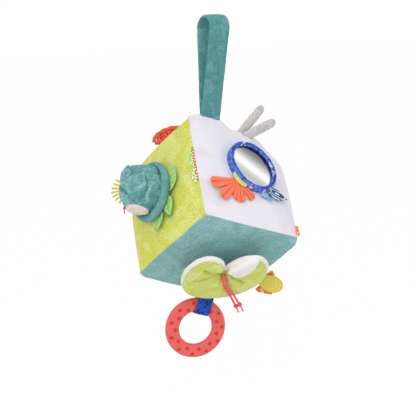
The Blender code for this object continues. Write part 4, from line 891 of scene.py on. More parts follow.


# Mirror: a soft plastic film with a bright coat, held down at its edge by a padded ring of printed cotton.
# The film isn't quite flat; light and dark bands of painted reflection run across its colour.
FILM_TOP = 0.0140
FILM_RADIUS = 0.0305
FILM_BOTTOM = 0.0130
PAINTED_REFLECTION_SLANT = (0.46, 0.89, 0)
RING_SIGHT = 0.0293
RING_OUTER = 0.0350
RING_TOP = 0.0192
mirror_place = face_places["front"] @ Matrix.Translation((*MIRROR_SPOT, 0))


def disc_rows(radius, rings, sides, height):
    """Vertices and faces of a disc whose height is height(x, y)."""
    points = [Vector((0, 0, height(0, 0)))]
    faces = []
    for ring in range(1, rings + 1):
        for side in range(sides):
            turn = 2 * pi * side / sides
            reach = radius * ring / rings
            x, y = reach * cos(turn), reach * sin(turn)
            points.append(Vector((x, y, height(x, y))))
    for side in range(sides):
        faces.append((0, 1 + side, 1 + (side + 1) % sides))
    for ring in range(1, rings):
        low = 1 + (ring - 1) * sides
        for side in range(sides):
            after = (side + 1) % sides
            faces.append((low + side, low + sides + side, low + sides + after, low + after))
    return points, faces


def film_height(x, y):
    """The film's shallow waves."""
    slope = 0.00030 * sin((x * 0.52 + y) * 88 + 0.9) + 0.00022 * grain((x, y, 3), 0.024)
    return FILM_TOP + slope * (1 - (hypot(x, y) / FILM_RADIUS) ** 4)


film_points, film_faces = disc_rows(FILM_RADIUS, 30, 72, film_height)
low_points, low_faces = disc_rows(FILM_RADIUS, 30, 72, lambda x, y: FILM_BOTTOM)
count = len(film_points)
film_faces += [tuple(index + count for index in reversed(face)) for face in low_faces]
for side in range(72):
    after = (side + 1) % 72
    edge = count - 72
    film_faces.append((edge + side, edge + side + count, edge + after + count, edge + after))
film_cut = [(point.x * 100, point.y * 100) for point in film_points + low_points]
mirror = outward(add_piece("mirror", film_points + low_points, film_faces, mirror_place, film_cut))
mirror_film, tree, shader = new_finish("mirror_film", Metallic=1.0, Roughness=0.09)
film_spot = add_node(tree, "TexCoord").outputs["Object"]
film_flat = add_node(tree, "UVMap", uv_map="cut").outputs[0]
film_reflection_slant = add_node(tree, "VectorMath", {0: film_flat, 1: PAINTED_REFLECTION_SLANT}, operation="DOT_PRODUCT")
film_reflection_share = ramp_node(tree, film_reflection_slant.outputs["Value"], -FILM_RADIUS * 100, FILM_RADIUS * 100)
# Painted reflection: the metal's colour runs through grey bands along one slant, with a bright band across the middle
# and darker towards one side.
film_painted_reflection = add_node(tree, "ValToRGB", {"Fac": film_reflection_share.outputs[0]})
FILM_PAINTED_REFLECTION_TONES = (
    (0.06, 214), (0.20, 194), (0.32, 216), (0.40, 254), (0.50, 254), (0.62, 206), (0.76, 146), (0.88, 124))
for spot, tone in FILM_PAINTED_REFLECTION_TONES:
    stop = film_painted_reflection.color_ramp.elements.new(spot)
    stop.color = (*srgb(tone, tone, tone), 1)
film_painted_reflection.color_ramp.elements.remove(film_painted_reflection.color_ramp.elements[0])
film_painted_reflection.color_ramp.elements[-1].color = (*srgb(158, 158, 158), 1)
tree.links.new(film_painted_reflection.outputs["Color"], shader.inputs["Base Color"])
film_haze = add_node(tree, "TexNoise", {"Vector": film_spot, "Scale": 90.0, "Detail": 4.0})
film_rough = add_node(tree, "MapRange", {"Value": film_haze.outputs["Fac"], "To Min": 0.05, "To Max": 0.16})
tree.links.new(film_rough.outputs[0], shader.inputs["Roughness"])
finish_piece(mirror, mirror_film, "block", "mirror_film", "mirror_film", "mirror_pad")

RING_STEPS = 220
RING_SIDES = 20
ring_points = []
ring_faces = []
ring_flat = []
for step in range(RING_STEPS):
    turn = 2 * pi * step / RING_STEPS
    spot = (cos(turn) * 0.032, sin(turn) * 0.032)
    x_out = MIRROR_SPOT[0] + RING_OUTER * cos(turn)
    y_out = MIRROR_SPOT[1] + RING_OUTER * sin(turn)
    ground = skin_rise(x_out, y_out) - 0.0012
    gather = grain((*spot, 2), 0.0042)
    wide = 0.0030 * grain((*spot, 6), 0.012)
    middle = (RING_SIGHT + RING_OUTER) / 2
    half = (RING_OUTER - RING_SIGHT) / 2 * (1 + 0.12 * gather)
    top = RING_TOP - 0.0004 + 0.0005 * gather + 0.12 * wide
    level = FILM_TOP + 0.0016
    for side in range(RING_SIDES):
        around = pi + pi * 1.28 - (pi * 1.56 + 0.0) * side / (RING_SIDES - 2) if side < RING_SIDES - 1 else 0
        if side < RING_SIDES - 1:
            lift = sin(around)
            reach = middle + half * cos(around) * (1 + 0.10 * grain((*spot, 11 + side), 0.006))
            height = level + (top - level) * lift if lift >= 0 else level + (level - FILM_TOP + 0.0002) * lift
            if cos(around) > 0 and lift < 0:
                height = level + (level - ground) * lift * 1.25
                reach = middle + half * (cos(around) * 0.75 + 0.25)
        else:
            reach = middle - half * 0.3
            height = ground
        ring_points.append(Vector((reach * cos(turn), reach * sin(turn), height)))
        ring_flat.append((step * 0.1, side * 0.06))
for step in range(RING_STEPS):
    after = (step + 1) % RING_STEPS
    for side in range(RING_SIDES):
        beside = (side + 1) % RING_SIDES
        ring_faces.append((
            step * RING_SIDES + side, after * RING_SIDES + side,
            after * RING_SIDES + beside, step * RING_SIDES + beside))
mirror_ring = outward(add_piece("mirror_ring_cloth", ring_points, ring_faces, mirror_place, ring_flat))

# Print of the ring: loose dabs of pale blue, white and pink on blue
dab_print, tree, shader = new_finish("dab_print", Roughness=0.85, Sheen_Weight=0.15)
dab_spot = add_node(tree, "TexCoord").outputs["Object"]
dab_big = add_node(tree, "TexNoise", {"Vector": dab_spot, "Scale": 210.0, "Detail": 2.0, "Distortion": 1.2})
dab_base = add_node(tree, "ValToRGB", {"Fac": dab_big.outputs["Fac"]})
ramp = dab_base.color_ramp
ramp.elements[0].position, ramp.elements[0].color = 0.40, (*srgb(38, 62, 172), 1)
ramp.elements[1].position, ramp.elements[1].color = 0.56, (*srgb(84, 128, 214), 1)
dab_cells = add_node(tree, "TexVoronoi", {"Vector": dab_spot, "Scale": 150.0, "Randomness": 1.0})
dab_mask = ramp_node(tree, dab_cells.outputs["Distance"], 0.44, 0.36)
dab_pick = add_node(tree, "SeparateColor", {"Color": dab_cells.outputs["Color"]})
dab_some = math_node(tree, "GREATER_THAN", dab_pick.outputs[0], 0.46)
dab_on = math_node(tree, "MULTIPLY", dab_mask.outputs[0], dab_some.outputs[0])
dab_pale = mix_colours(tree, dab_pick.outputs[1], (*srgb(226, 230, 246), 1), (*srgb(176, 160, 216), 1))
dab_mix = mix_colours(tree, dab_on.outputs[0], dab_base.outputs["Color"], dab_pale.outputs["Result"])
tree.links.new(dab_mix.outputs["Result"], shader.inputs["Base Color"])
dab_relief = add_node(tree, "TexNoise", {"Vector": dab_spot, "Scale": 900.0, "Detail": 2.0})
add_relief(tree, shader, 0.3, 0.0003, dab_relief.outputs["Fac"])
finish_piece(mirror_ring, dab_print, "block", "blue_print", "mirror_ring")
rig.padded(mirror_ring, fill=0.7)


# Flat tags of felt and cotton: each is cut to an outline, sewn edge to edge round a thin wadding and
# turned, so that it is thin at its edge and a little fuller inside.
def fill_outline(outline, spacing):
    """Points and triangles that fill a closed outline of (x, y), with the distance of each to the edge."""
    points = []
    for here, after in zip(outline, outline[1:] + outline[:1]):
        here, after = Vector(here), Vector(after)
        count = max(1, round((after - here).length / spacing))
        points += [here.lerp(after, step / count) for step in range(count)]
    edge_count = len(points)
    edges = [(index, (index + 1) % edge_count) for index in range(edge_count)]

    def to_edge(spot):
        best = 1.0
        for here, after in zip(points[:edge_count], points[1:edge_count] + points[:1]):
            along = after - here
            share = min(max((spot - here).dot(along) / along.length_squared, 0), 1)
            best = min(best, (spot - here - along * share).length)
        return best

    low_x, high_x = min(p.x for p in points), max(p.x for p in points)
    low_y, high_y = min(p.y for p in points), max(p.y for p in points)
    inside = []
    row = 0
    y = low_y + spacing / 2
    while y < high_y:
        x = low_x + spacing / 2 * (1 + row % 2)
        while x < high_x:
            spot = Vector((x, y))
            crossings = 0
            for here, after in zip(points[:edge_count], points[1:edge_count] + points[:1]):
                if (here.y > y) != (after.y > y):
                    if x < here.x + (after.x - here.x) * (y - here.y) / (after.y - here.y):
                        crossings += 1
            if crossings % 2 and to_edge(spot) > spacing * 0.45:
                inside.append(spot)
            x += spacing
        y += spacing * 0.866
        row += 1
    result = geometry.delaunay_2d_cdt(points + inside, edges, [], 1, 1e-7)
    spots, triangles = result[0], result[2]
    outline_now = points[:edge_count]
    distances = [to_edge(spot) for spot in spots]
    return spots, triangles, distances, outline_now


def tag_piece(name, outline, spacing, top, bottom, place, bend=None):
    """Closed tag: top(x, y, d) and bottom(x, y, d) are its heights at a distance d from its edge."""
    spots, triangles, distances, _ = fill_outline(outline, spacing)
    upper = [Vector((spot.x, spot.y, top(spot.x, spot.y, d))) for spot, d in zip(spots, distances)]
    vertices = list(upper)
    lower_index = {}
    for index, (spot, d) in enumerate(zip(spots, distances)):
        if d < 1e-6:
            lower_index[index] = index
        else:
            lower_index[index] = len(vertices)
            vertices.append(Vector((spot.x, spot.y, bottom(spot.x, spot.y, d))))
    flat = [(point.x * 100, point.y * 100) for point in vertices]
    if bend:
        vertices = [bend(point) for point in vertices]
    faces = [tuple(face) for face in triangles]
    faces += [tuple(lower_index[index] for index in reversed(face)) for face in triangles]
    return outward(add_piece(name, vertices, faces, place, flat))


def pillow(thick, edge, quilt=None):
    """Top and bottom heights of a tag with a rounded edge; quilt(x, y, d) adds to its top."""
    def rise(d):
        share = min(d / edge, 1)
        return thick / 2 * sqrt(max(0, 1 - (1 - share) ** 2))

    def top(x, y, d):
        return rise(d) + (quilt(x, y, d) if quilt and d > 0 else 0)

    def bottom(x, y, d):
        return -rise(d)
    return top, bottom


def pointed_oval(length, width, root_width, count=16):
    """Leaf outline from a root of that width at x = 0 to a point at x = length."""
    upper = []
    for step in range(1, count):
        t = step / count
        upper.append((length * t, width / 2 * sin(pi * t ** 0.85) + root_width / 2 * (1 - t) ** 2))
    lower = [(x, -y) for x, y in reversed(upper)]
    return [(0, root_width / 2)] + upper + [(length, 0)] + lower + [(0, -root_width / 2)]


def cut_size(outline):
    width = max(x for x, y in outline) - min(x for x, y in outline)
    length = max(y for x, y in outline) - min(y for x, y in outline)
    area = 0
    for (x, y), (next_x, next_y) in zip(outline, outline[1:] + outline[:1]):
        area += (x * next_y - next_x * y) / 2
    return {"flat": (round(width, 4), round(length, 4)), "area": round(abs(area), 6)}


def face_place(face, spot, heading, dip, height):
    """Place of a tag on a face: its x axis runs from the root along the heading, dipped to the face."""
    turn = Matrix.Rotation(heading, 4, "Z") @ Matrix.Rotation(dip, 4, "Y")
    return face_places[face] @ Matrix.Translation((*spot, height)) @ turn


# Orange fan beside the mirror: four lobes of felt with darker sewn ribs that run out from the hub. Its root
# lies under the mirror's ring, and it flaps there.
FAN_SPOT = (-0.0210, -0.0180)
FAN_HEIGHT = 0.0120
FAN_HEADING = radians(252)
FAN_DIP = radians(5)
FAN_THICK = 0.0018
FAN_LOBES = (
    (radians(184), radians(208), 0.0418, 0.0205),
    (radians(213), radians(239), 0.0385, 0.0205),
    (radians(246), radians(288), 0.0290, 0.0130),
    (radians(298), radians(330), 0.0290, 0.0130),
)
FAN_HUB = 0.0050
RIBS_PER_LOBE = 4
fan_outline = []
for index, (start, stop, length, notch) in enumerate(FAN_LOBES):
    for step in range(9):
        share = step / 8
        ripple = 1 - 0.10 * abs(2 * share - 1) ** 3 - 0.012 * abs(sin(share * pi * RIBS_PER_LOBE))
        turn = start + (stop - start) * share - FAN_HEADING
        fan_outline.append((length * ripple * cos(turn), length * ripple * sin(turn)))
    if index < len(FAN_LOBES) - 1:
        turn = (stop + FAN_LOBES[index + 1][0]) / 2 - FAN_HEADING
        fan_outline.append((notch * cos(turn), notch * sin(turn)))
fan_outline += [(0, FAN_HUB), (-0.002, 0), (0, -FAN_HUB)]


def fan_ribs(x, y, d):
    """Sewn ribs that run out from the hub: from 0 in a rib's line to 1 between two ribs."""
    turn = atan2(y, x) + FAN_HEADING
    for start, stop, length, notch in FAN_LOBES:
        if start - 0.03 <= turn <= stop + 0.03:
            share = (turn - start) / (stop - start)
            return abs(sin(share * pi * RIBS_PER_LOBE)) ** 0.6
    return 1


fan_top, fan_bottom = pillow(
    FAN_THICK, 0.0016, lambda x, y, d: 0.0006 * (fan_ribs(x, y, d) - 1) * ease(hypot(x, y) / 0.012))
fan = tag_piece(
    "fan", fan_outline, 0.0009, fan_top, fan_bottom, face_place("front", FAN_SPOT, FAN_HEADING, FAN_DIP, FAN_HEIGHT),
    lambda p: Vector((p.x, p.y, p.z + 0.0012 * grain((p.x, p.y, 40), 0.016) * ease(p.x / 0.02))))
fan_felt, tree, shader = new_finish("fan_felt", Roughness=0.85, Sheen_Weight=0.3)
fan_uv = add_node(tree, "UVMap", uv_map="cut").outputs[0]
fan_apart = add_node(tree, "SeparateXYZ", {0: fan_uv})
fan_turn = math_node(tree, "ARCTAN2", fan_apart.outputs[1], fan_apart.outputs[0])
fan_wave = math_node(tree, "MULTIPLY", fan_turn.outputs[0], 24.0)
fan_sine = add_node(tree, "Math", {0: fan_wave.outputs[0]}, operation="SINE")
fan_line = ramp_node(tree, fan_sine.outputs[0], 0.55, 0.95)
fan_grain = use_effect(tree, fibre_grain, {
    "Colour": (*srgb(250, 122, 84), 1), "Shade": (*srgb(238, 96, 60), 1), "Scale": 1100.0, "Mottle": 0.5})
fan_mix = mix_colours(tree, fan_line.outputs[0], fan_grain.outputs["Colour"], (*srgb(214, 74, 50), 1))
tree.links.new(fan_mix.outputs["Result"], shader.inputs["Base Color"])
add_relief(tree, shader, 0.3, 0.0003, fan_grain.outputs["Height"])
finish_piece(fan, fan_felt, "fan", "orange_felt", "fan_tag")
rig.sheet(fan, flat=(0.062, 0.043), held="hung", rests_on=["sewn_panel_white_front"], area=0.0013)


# Lime half disc of velour between the fan and the mirror's ring
TAB_SPOT = (-0.01945, -0.01732)
TAB_HEIGHT = 0.0140
TAB_RADIUS = 0.0112
TAB_REACH = 0.0062
TAB_TURN = radians(226)
tab_outline = [(-0.0035, -TAB_RADIUS)] + [
    (TAB_REACH * sin(step * pi / 16), -TAB_RADIUS * cos(step * pi / 16)) for step in range(17)
] + [(-0.0035, TAB_RADIUS)]
tab_top, tab_bottom = pillow(0.0016, 0.0016)
tab = tag_piece("half_disc", tab_outline, 0.0009, tab_top, tab_bottom,
                face_place("front", TAB_SPOT, TAB_TURN, FAN_DIP, TAB_HEIGHT))
tab_velour = velour_finish("tab_velour", srgb(216, 220, 120), srgb(230, 234, 152), srgb(184, 192, 84),
                           patch=60.0, grain_scale=700.0)
finish_piece(tab, tab_velour, "fan", "lime_velour", "half_disc_tab")


# Navy drop with pale contour lines, over a pale blue tag that is cut into strands
DROP_SPOT = (0.0240, -0.0205)
DROP_HEIGHT = 0.0127
DROP_HEADING = radians(352)
DROP_LENGTH = 0.0322
DROP_WIDTH = 0.0145
drop_top, drop_bottom = pillow(0.0016, 0.0016)
drop = tag_piece("navy_drop", pointed_oval(DROP_LENGTH, DROP_WIDTH, DROP_WIDTH / 2), 0.0009, drop_top, drop_bottom,
                 face_place("front", DROP_SPOT, DROP_HEADING, radians(4), DROP_HEIGHT))
contour_print, tree, shader = new_finish("contour_print", Roughness=0.85, Sheen_Weight=0.15)
contour_uv = add_node(tree, "UVMap", uv_map="cut").outputs[0]
contour_wide = add_node(tree, "Mapping", {
    "Vector": contour_uv, "Location": (-1.55, 0.0, 0), "Scale": (1.0, 2.2, 1)})
contour_reach = add_node(tree, "VectorMath", {0: contour_wide.outputs[0]}, operation="LENGTH")
contour_waver = add_node(tree, "TexNoise", {"Vector": contour_uv, "Scale": 0.9, "Detail": 0.0})
contour_sum = math_node(tree, "ADD", contour_reach.outputs["Value"], contour_waver.outputs["Fac"])
contour_wave = math_node(tree, "MULTIPLY", contour_sum.outputs[0], 9.0)
contour_sine = add_node(tree, "Math", {0: contour_wave.outputs[0]}, operation="SINE")
contour_line = ramp_node(tree, contour_sine.outputs[0], 0.45, 0.72)
contour_mix = mix_colours(tree, contour_line.outputs[0], (*srgb(20, 68, 118), 1), (*srgb(222, 232, 242), 1))
tree.links.new(contour_mix.outputs["Result"], shader.inputs["Base Color"])
finish_piece(drop, contour_print, "drop", "navy_cotton", "drop_tag")
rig.sheet(drop, flat=(DROP_LENGTH, DROP_WIDTH), held="hung", rests_on=["sewn_panel_white_front"], area=0.00032)

FRINGE_SPOT = (0.0145, -0.0254)
FRINGE_HEIGHT = 0.0113
FRINGE_HEADING = radians(342)
FRINGE_LENGTH = 0.0230
FRINGE_WIDTH = 0.0135
FRINGE_STRANDS = 5
fringe_outline = [(-0.001, FRINGE_WIDTH / 2)]
for strand in range(FRINGE_STRANDS):
    top_edge = FRINGE_WIDTH / 2 - FRINGE_WIDTH * strand / FRINGE_STRANDS
    low_edge = top_edge - FRINGE_WIDTH / FRINGE_STRANDS * 0.68
    reach = FRINGE_LENGTH * (1 - 0.10 * (strand % 2) - 0.04 * strand)
    fringe_outline += [(reach - 0.0007, top_edge), (reach, (top_edge + low_edge) / 2), (reach - 0.0007, low_edge)]
    if strand < FRINGE_STRANDS - 1:
        next_edge = top_edge - FRINGE_WIDTH / FRINGE_STRANDS
        fringe_outline += [(FRINGE_LENGTH * 0.30, low_edge), (FRINGE_LENGTH * 0.30, next_edge)]
fringe_outline.append((-0.001, low_edge))
fringe_top, fringe_bottom = pillow(0.0010, 0.0006)
fringe = tag_piece(
    "fringe", fringe_outline, 0.0006, fringe_top, fringe_bottom,
    face_place("front", FRINGE_SPOT, FRINGE_HEADING, radians(4), FRINGE_HEIGHT),
    lambda p: Vector((
        p.x, p.y + 0.0005 * grain((p.x, p.y * 0.3, 7), 0.008), p.z + 0.0008 * grain((p.x, p.y, 71), 0.009))))
pale_ribbon, tree, shader = new_finish("pale_ribbon", Roughness=0.8, Sheen_Weight=0.2)
strand_spot = add_node(tree, "UVMap", uv_map="cut").outputs[0]
strand_long = add_node(tree, "Mapping", {"Vector": strand_spot, "Scale": (1.2, 7.0, 1.0)})
strand_noise = add_node(tree, "TexNoise", {"Vector": strand_long.outputs[0], "Scale": 1.6, "Detail": 2.0})
strand_ramp = add_node(tree, "ValToRGB", {"Fac": strand_noise.outputs["Fac"]})
STRAND_TONES = (
    (0.34, (36, 74, 124)), (0.44, (118, 168, 218)), (0.56, (158, 198, 234)), (0.66, (234, 240, 246)))
for spot, colour in STRAND_TONES:
    stop = strand_ramp.color_ramp.elements.new(spot)
    stop.color = (*srgb(*colour), 1)
strand_ramp.color_ramp.elements.remove(strand_ramp.color_ramp.elements[0])
strand_ramp.color_ramp.elements.remove(strand_ramp.color_ramp.elements[-1])
tree.links.new(strand_ramp.outputs["Color"], shader.inputs["Base Color"])
finish_piece(fringe, pale_ribbon, "drop", "pale_blue", "fringe_tag")
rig.sheet(fringe, flat=(FRINGE_LENGTH, FRINGE_WIDTH), held="hung", rests_on=["sewn_panel_white_front"], area=0.00021)


# Half-leaf tag in the seam between the lime and white faces: printed cotton, folded flat against the lime
# face, with a green edge and a row of red dashes near the seam.
SEAM_TAG_LENGTH = 0.0500
SEAM_TAG_WIDTH = 0.0074
SEAM_TAG_SHARES = ((-0.25, 1), (0.3, 1.0), (0.62, 0.92), (0.92, 0.72), (1, 0.45), (1, -0.05), (0.82, -0.45),
                   (0.45, -0.80), (0.1, -0.98), (-0.25, -1))
seam_outline = [(SEAM_TAG_WIDTH * x, SEAM_TAG_LENGTH / 2 * y) for x, y in SEAM_TAG_SHARES]
seam_top, seam_bottom = pillow(0.0013, 0.0010)
seam_place = face_places["left"] @ Matrix.Translation((0.0697, -0.0013, 0.0024)) @ Matrix.Rotation(
    pi, 4, "Z") @ Matrix.Rotation(radians(-22), 4, "Y")
seam_tag = tag_piece("seam_leaf", seam_outline, 0.0008, seam_top, seam_bottom, seam_place)
speck_print, tree, shader = new_finish("speck_print", Roughness=0.85, Sheen_Weight=0.15)
speck_uv = add_node(tree, "UVMap", uv_map="cut").outputs[0]
speck_cells = add_node(tree, "TexVoronoi", {"Vector": speck_uv, "Scale": 1.9, "Randomness": 0.45})
speck_far = ramp_node(tree, speck_cells.outputs["Distance"], 0.46, 0.41)
speck_dot = ramp_node(tree, speck_cells.outputs["Distance"], 0.28, 0.23)
speck_pick = add_node(tree, "SeparateColor", {"Color": speck_cells.outputs["Color"]})
speck_inner = mix_colours(tree, speck_pick.outputs[0], (*srgb(40, 60, 120), 1), (*srgb(232, 96, 70), 1))
speck_one = mix_colours(tree, speck_far.outputs[0], (*srgb(172, 204, 84), 1), (*srgb(240, 242, 232), 1))
speck_two = mix_colours(
    tree, speck_dot.outputs[0], speck_one.outputs["Result"], speck_inner.outputs["Result"])
speck_apart = add_node(tree, "SeparateXYZ", {0: speck_uv})
dash_wave = math_node(tree, "MULTIPLY", speck_apart.outputs[1], 15.0)
dash_sine = add_node(tree, "Math", {0: dash_wave.outputs[0]}, operation="SINE")
dash_on = math_node(tree, "GREATER_THAN", dash_sine.outputs[0], 0.0)
dash_near = math_node(tree, "LESS_THAN", speck_apart.outputs[0], 0.08)
dash_mask = math_node(tree, "MULTIPLY", dash_on.outputs[0], dash_near.outputs[0])
speck_mix = mix_colours(tree, dash_mask.outputs[0], speck_two.outputs["Result"], (*srgb(208, 70, 60), 1))
tree.links.new(speck_mix.outputs["Result"], shader.inputs["Base Color"])
finish_piece(seam_tag, speck_print, "seam_tag", "leaf_print", "seam_tag")


# Collar of the head: a padded roll of teal velour sewn on a short cuff, which stands on the lime face.
COLLAR_RADIUS = 0.0363
COLLAR_BORE = 0.0292
COLLAR_CUFF = 0.0312
COLLAR_TOP = 0.0250
COLLAR_ROLL_BOTTOM = 0.0145
COLLAR_STEPS = 200
COLLAR_SIDES = 30
left_place = face_places["left"]
collar_points = []
collar_flat = []
for step in range(COLLAR_STEPS):
    turn = 2 * pi * step / COLLAR_STEPS
    spot = (cos(turn) * 0.034, sin(turn) * 0.034)
    ground = skin_rise(COLLAR_CUFF * cos(turn), COLLAR_CUFF * sin(turn)) - 0.0015
    gather = grain((*spot, 21), 0.0065)
    swell = grain((*spot, 27), 0.018)
    low = 0.0014 * max(0, -sin(turn)) ** 2
    middle = (COLLAR_RADIUS + COLLAR_BORE) / 2 + low
    half = (COLLAR_RADIUS - COLLAR_BORE) / 2 + 0.0004 * swell + low
    level = (COLLAR_TOP + COLLAR_ROLL_BOTTOM) / 2
    rise = (COLLAR_TOP - COLLAR_ROLL_BOTTOM) / 2 + 0.0005 * swell
    profile = [(COLLAR_BORE + 0.0004, ground), (COLLAR_BORE, (ground + level) / 2)]
    for side in range(COLLAR_SIDES - 4):
        around = pi - pi * 1.55 * side / (COLLAR_SIDES - 5)
        crease = 1 - 0.16 * max(0, gather) - 0.10 * max(0, grain((*spot, 35 + around * 2.2), 0.012))
        profile.append((middle + half * crease * cos(around), level + rise * crease * sin(around)))
    profile += [(COLLAR_CUFF, COLLAR_ROLL_BOTTOM - 0.0005), (COLLAR_CUFF + 0.0004, ground)]
    for side, (reach, height) in enumerate(profile):
        collar_points.append(Vector((reach * cos(turn), reach * sin(turn), height)))
        collar_flat.append((step * 0.11, side * 0.09))
collar_faces = []
for step in range(COLLAR_STEPS):
    after = (step + 1) % COLLAR_STEPS
    for side in range(COLLAR_SIDES):
        beside = (side + 1) % COLLAR_SIDES
        collar_faces.append((
            step * COLLAR_SIDES + side, after * COLLAR_SIDES + side,
            after * COLLAR_SIDES + beside, step * COLLAR_SIDES + beside))
collar = outward(add_piece("collar_roll", collar_points, collar_faces, left_place, collar_flat))
collar_velour = velour_finish("collar_velour", srgb(104, 158, 158), srgb(132, 182, 182), srgb(64, 116, 118),
                              patch=60.0, grain_scale=560.0)
finish_piece(collar, collar_velour, "block", "head_velour", "head_collar")
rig.padded(collar, fill=0.7)


# Head: a stuffed animal head of teal velour with a rounded muzzle. A broad hood pad covers its top and ends
# in a knob over the muzzle; two seams run down the face and meet the cream plush chin.
HEAD_LENGTH = 0.0585
HEAD_RADIUS = 0.0292
HEAD_WIDE = 0.0350
NECK_RADIUS = 0.0140
NECK_HEIGHT = 0.02535
HEAD_BASE = 0.0282
HEAD_ROWS = 92
HEAD_SIDES = 128


def head_radius(height):
    """Radius of the head's egg at that height above the face."""
    if height >= HEAD_WIDE:
        share = min((height - HEAD_WIDE) / (HEAD_LENGTH - HEAD_WIDE), 1)
        return HEAD_RADIUS * sqrt(max(0, 1 - share ** 2)) ** 1.10
    share = (HEAD_WIDE - height) / (HEAD_WIDE - 0.0120)
    return HEAD_BASE + (HEAD_RADIUS - HEAD_BASE) * (1 - share) if height > 0.0205 else HEAD_BASE * sqrt(
        max(0.02, 1 - ((0.0205 - height) / 0.0075) ** 2))


def groove(distance, reach, depth):
    """Depth of a sewn line at that distance from it, with cloth that swells beside it."""
    swell = 0.35 * exp(-((abs(distance) - 2.4 * reach) / reach / 1.4) ** 2)
    return depth * (exp(-(distance / reach) ** 2) - swell)


def head_point(share, turn):
    """Point of the head: share runs from the neck to the tip, turn goes round from the right."""
    if share < 0.12:
        t = share / 0.12
        height = 0.0135 + 0.0015 * t
        radius = NECK_RADIUS * 0.9 + (HEAD_BASE * 0.72 - NECK_RADIUS * 0.9) * t
    else:
        t = (share - 0.12) / 0.88
        angle = t * pi / 2
        height = 0.0150 + (HEAD_LENGTH - 0.0150) * sin(angle) ** 1.0
        radius = head_radius(height)
    x, y = radius * cos(turn), radius * sin(turn)
    up = ease((height - NECK_HEIGHT + NECK_RADIUS) / NECK_RADIUS)
    if y > 0:
        y *= 1 - 0.50 * up
    x *= 1 - 0.12 * ease((height - NECK_HEIGHT) / NECK_RADIUS)
    return Vector((x, y, height))


# Sewn lines of the face: one down the middle of the muzzle to the chin, and a fold round each cheek
MIDDLE_SEAM = (
    (-0.0047, -0.0008, 0.0582), (0.0012, -0.0103, 0.0567), (0.0030, -0.0187, 0.0524), (0.0034, -0.0242, 0.0474))
CHEEK_FOLD = (
    (0.0254, -0.0030, 0.0405), (0.0245, -0.0080, 0.0396), (0.0228, -0.0127, 0.0390), (0.0180, -0.0199, 0.0403),
    (0.0095, -0.0250, 0.0442))
MUZZLE_SWELLS = (Vector((0.0135, -0.0125, 0.0508)), Vector((-0.0110, -0.0125, 0.0520)))
face_lines = [
    (smooth_line(MIDDLE_SEAM, 0.0015), 0.0036, 0.0010),
    (smooth_line(CHEEK_FOLD, 0.0015), 0.0036, 0.0015),
]
face_lines.append((smooth_line([(-x, y, z) for x, y, z in CHEEK_FOLD], 0.0015), 0.0036, 0.0015))


def dented(point, normal):
    """Moves a point of the head in along the face's sewn lines and gives the pile its soft lumps."""
    move = 0.0006 * grain(point, 0.012) + 0.0003 * grain(point, 0.005)
    for spot in MUZZLE_SWELLS:
        move += 0.0024 * exp(-((point - spot).length / 0.0105) ** 2)
    for line, depth, width in face_lines:
        nearest = min((point - spot).length for spot in line)
        if nearest < width * 6:
            move -= groove(nearest, width, depth)
    return point + normal * move


def round_piece(name, rows, sides, spot, place, shape=None):
    """Closed piece from spot(share, turn), with its two ends closed to a point."""
    points = []
    for row in range(rows + 1):
        for side in range(sides):
            points.append(spot(row / rows, 2 * pi * side / sides))
    first = sum(points[:sides], Vector()) / sides
    last = sum(points[-sides:], Vector()) / sides
    faces = []
    for row in range(rows):
        for side in range(sides):
            after = (side + 1) % sides
            low = row * sides
            faces.append((low + side, low + after, low + sides + after, low + sides + side))
    points += [first, last]
    for side in range(sides):
        after = (side + 1) % sides
        faces.append((len(points) - 2, after, side))
        faces.append((len(points) - 1, rows * sides + side, rows * sides + after))
    flat = [(index % sides * 0.12, index // sides * 0.07) for index in range(len(points))]
    piece = add_piece(name, points, faces, None, flat)
    shape_mesh = bmesh.new()
    shape_mesh.from_mesh(piece.data)
    bmesh.ops.remove_doubles(shape_mesh, verts=shape_mesh.verts, dist=0.00002)
    bmesh.ops.recalc_face_normals(shape_mesh, faces=shape_mesh.faces)
    shape_mesh.normal_update()
    if shape:
        moves = [(vertex, shape(vertex.co.copy(), vertex.normal.copy())) for vertex in shape_mesh.verts]
        for vertex, spot_now in moves:
            vertex.co = spot_now
    shape_mesh.to_mesh(piece.data)
    shape_mesh.free()
    piece.data.transform(place)
    return piece


head = round_piece("head", HEAD_ROWS, HEAD_SIDES, head_point, left_place, dented)
# The head's patches are painted much lighter than its pile, as painted sheen.
head_velour = velour_finish("head_velour", srgb(98, 154, 153), srgb(158, 204, 203), srgb(52, 104, 106),
                            patch=70.0, grain_scale=620.0, sheen=0.55)
finish_piece(head, head_velour, "head", "head_velour", "animal_head")
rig.padded(head, fill=0.9)

# Hood sections as height, half width, half depth and middle, from the neck to the knob's tip
HOOD_SECTIONS = (
    (0.0195, 0.0100, 0.0035, 0.0120), (0.0210, 0.0232, 0.0115, 0.0100), (0.0262, 0.0274, 0.0148, 0.0080),
    (0.0330, 0.0278, 0.0158, 0.0076), (0.0390, 0.0262, 0.0152, 0.0082), (0.0435, 0.0232, 0.0138, 0.0098),
    (0.0466, 0.0196, 0.0120, 0.0118), (0.0492, 0.0142, 0.0100, 0.0142), (0.0512, 0.0122, 0.0092, 0.0154),
    (0.0538, 0.0116, 0.0086, 0.0158), (0.0556, 0.0092, 0.0068, 0.0160), (0.0568, 0.0046, 0.0034, 0.0160),
)


KNOB_SET = 0.0012


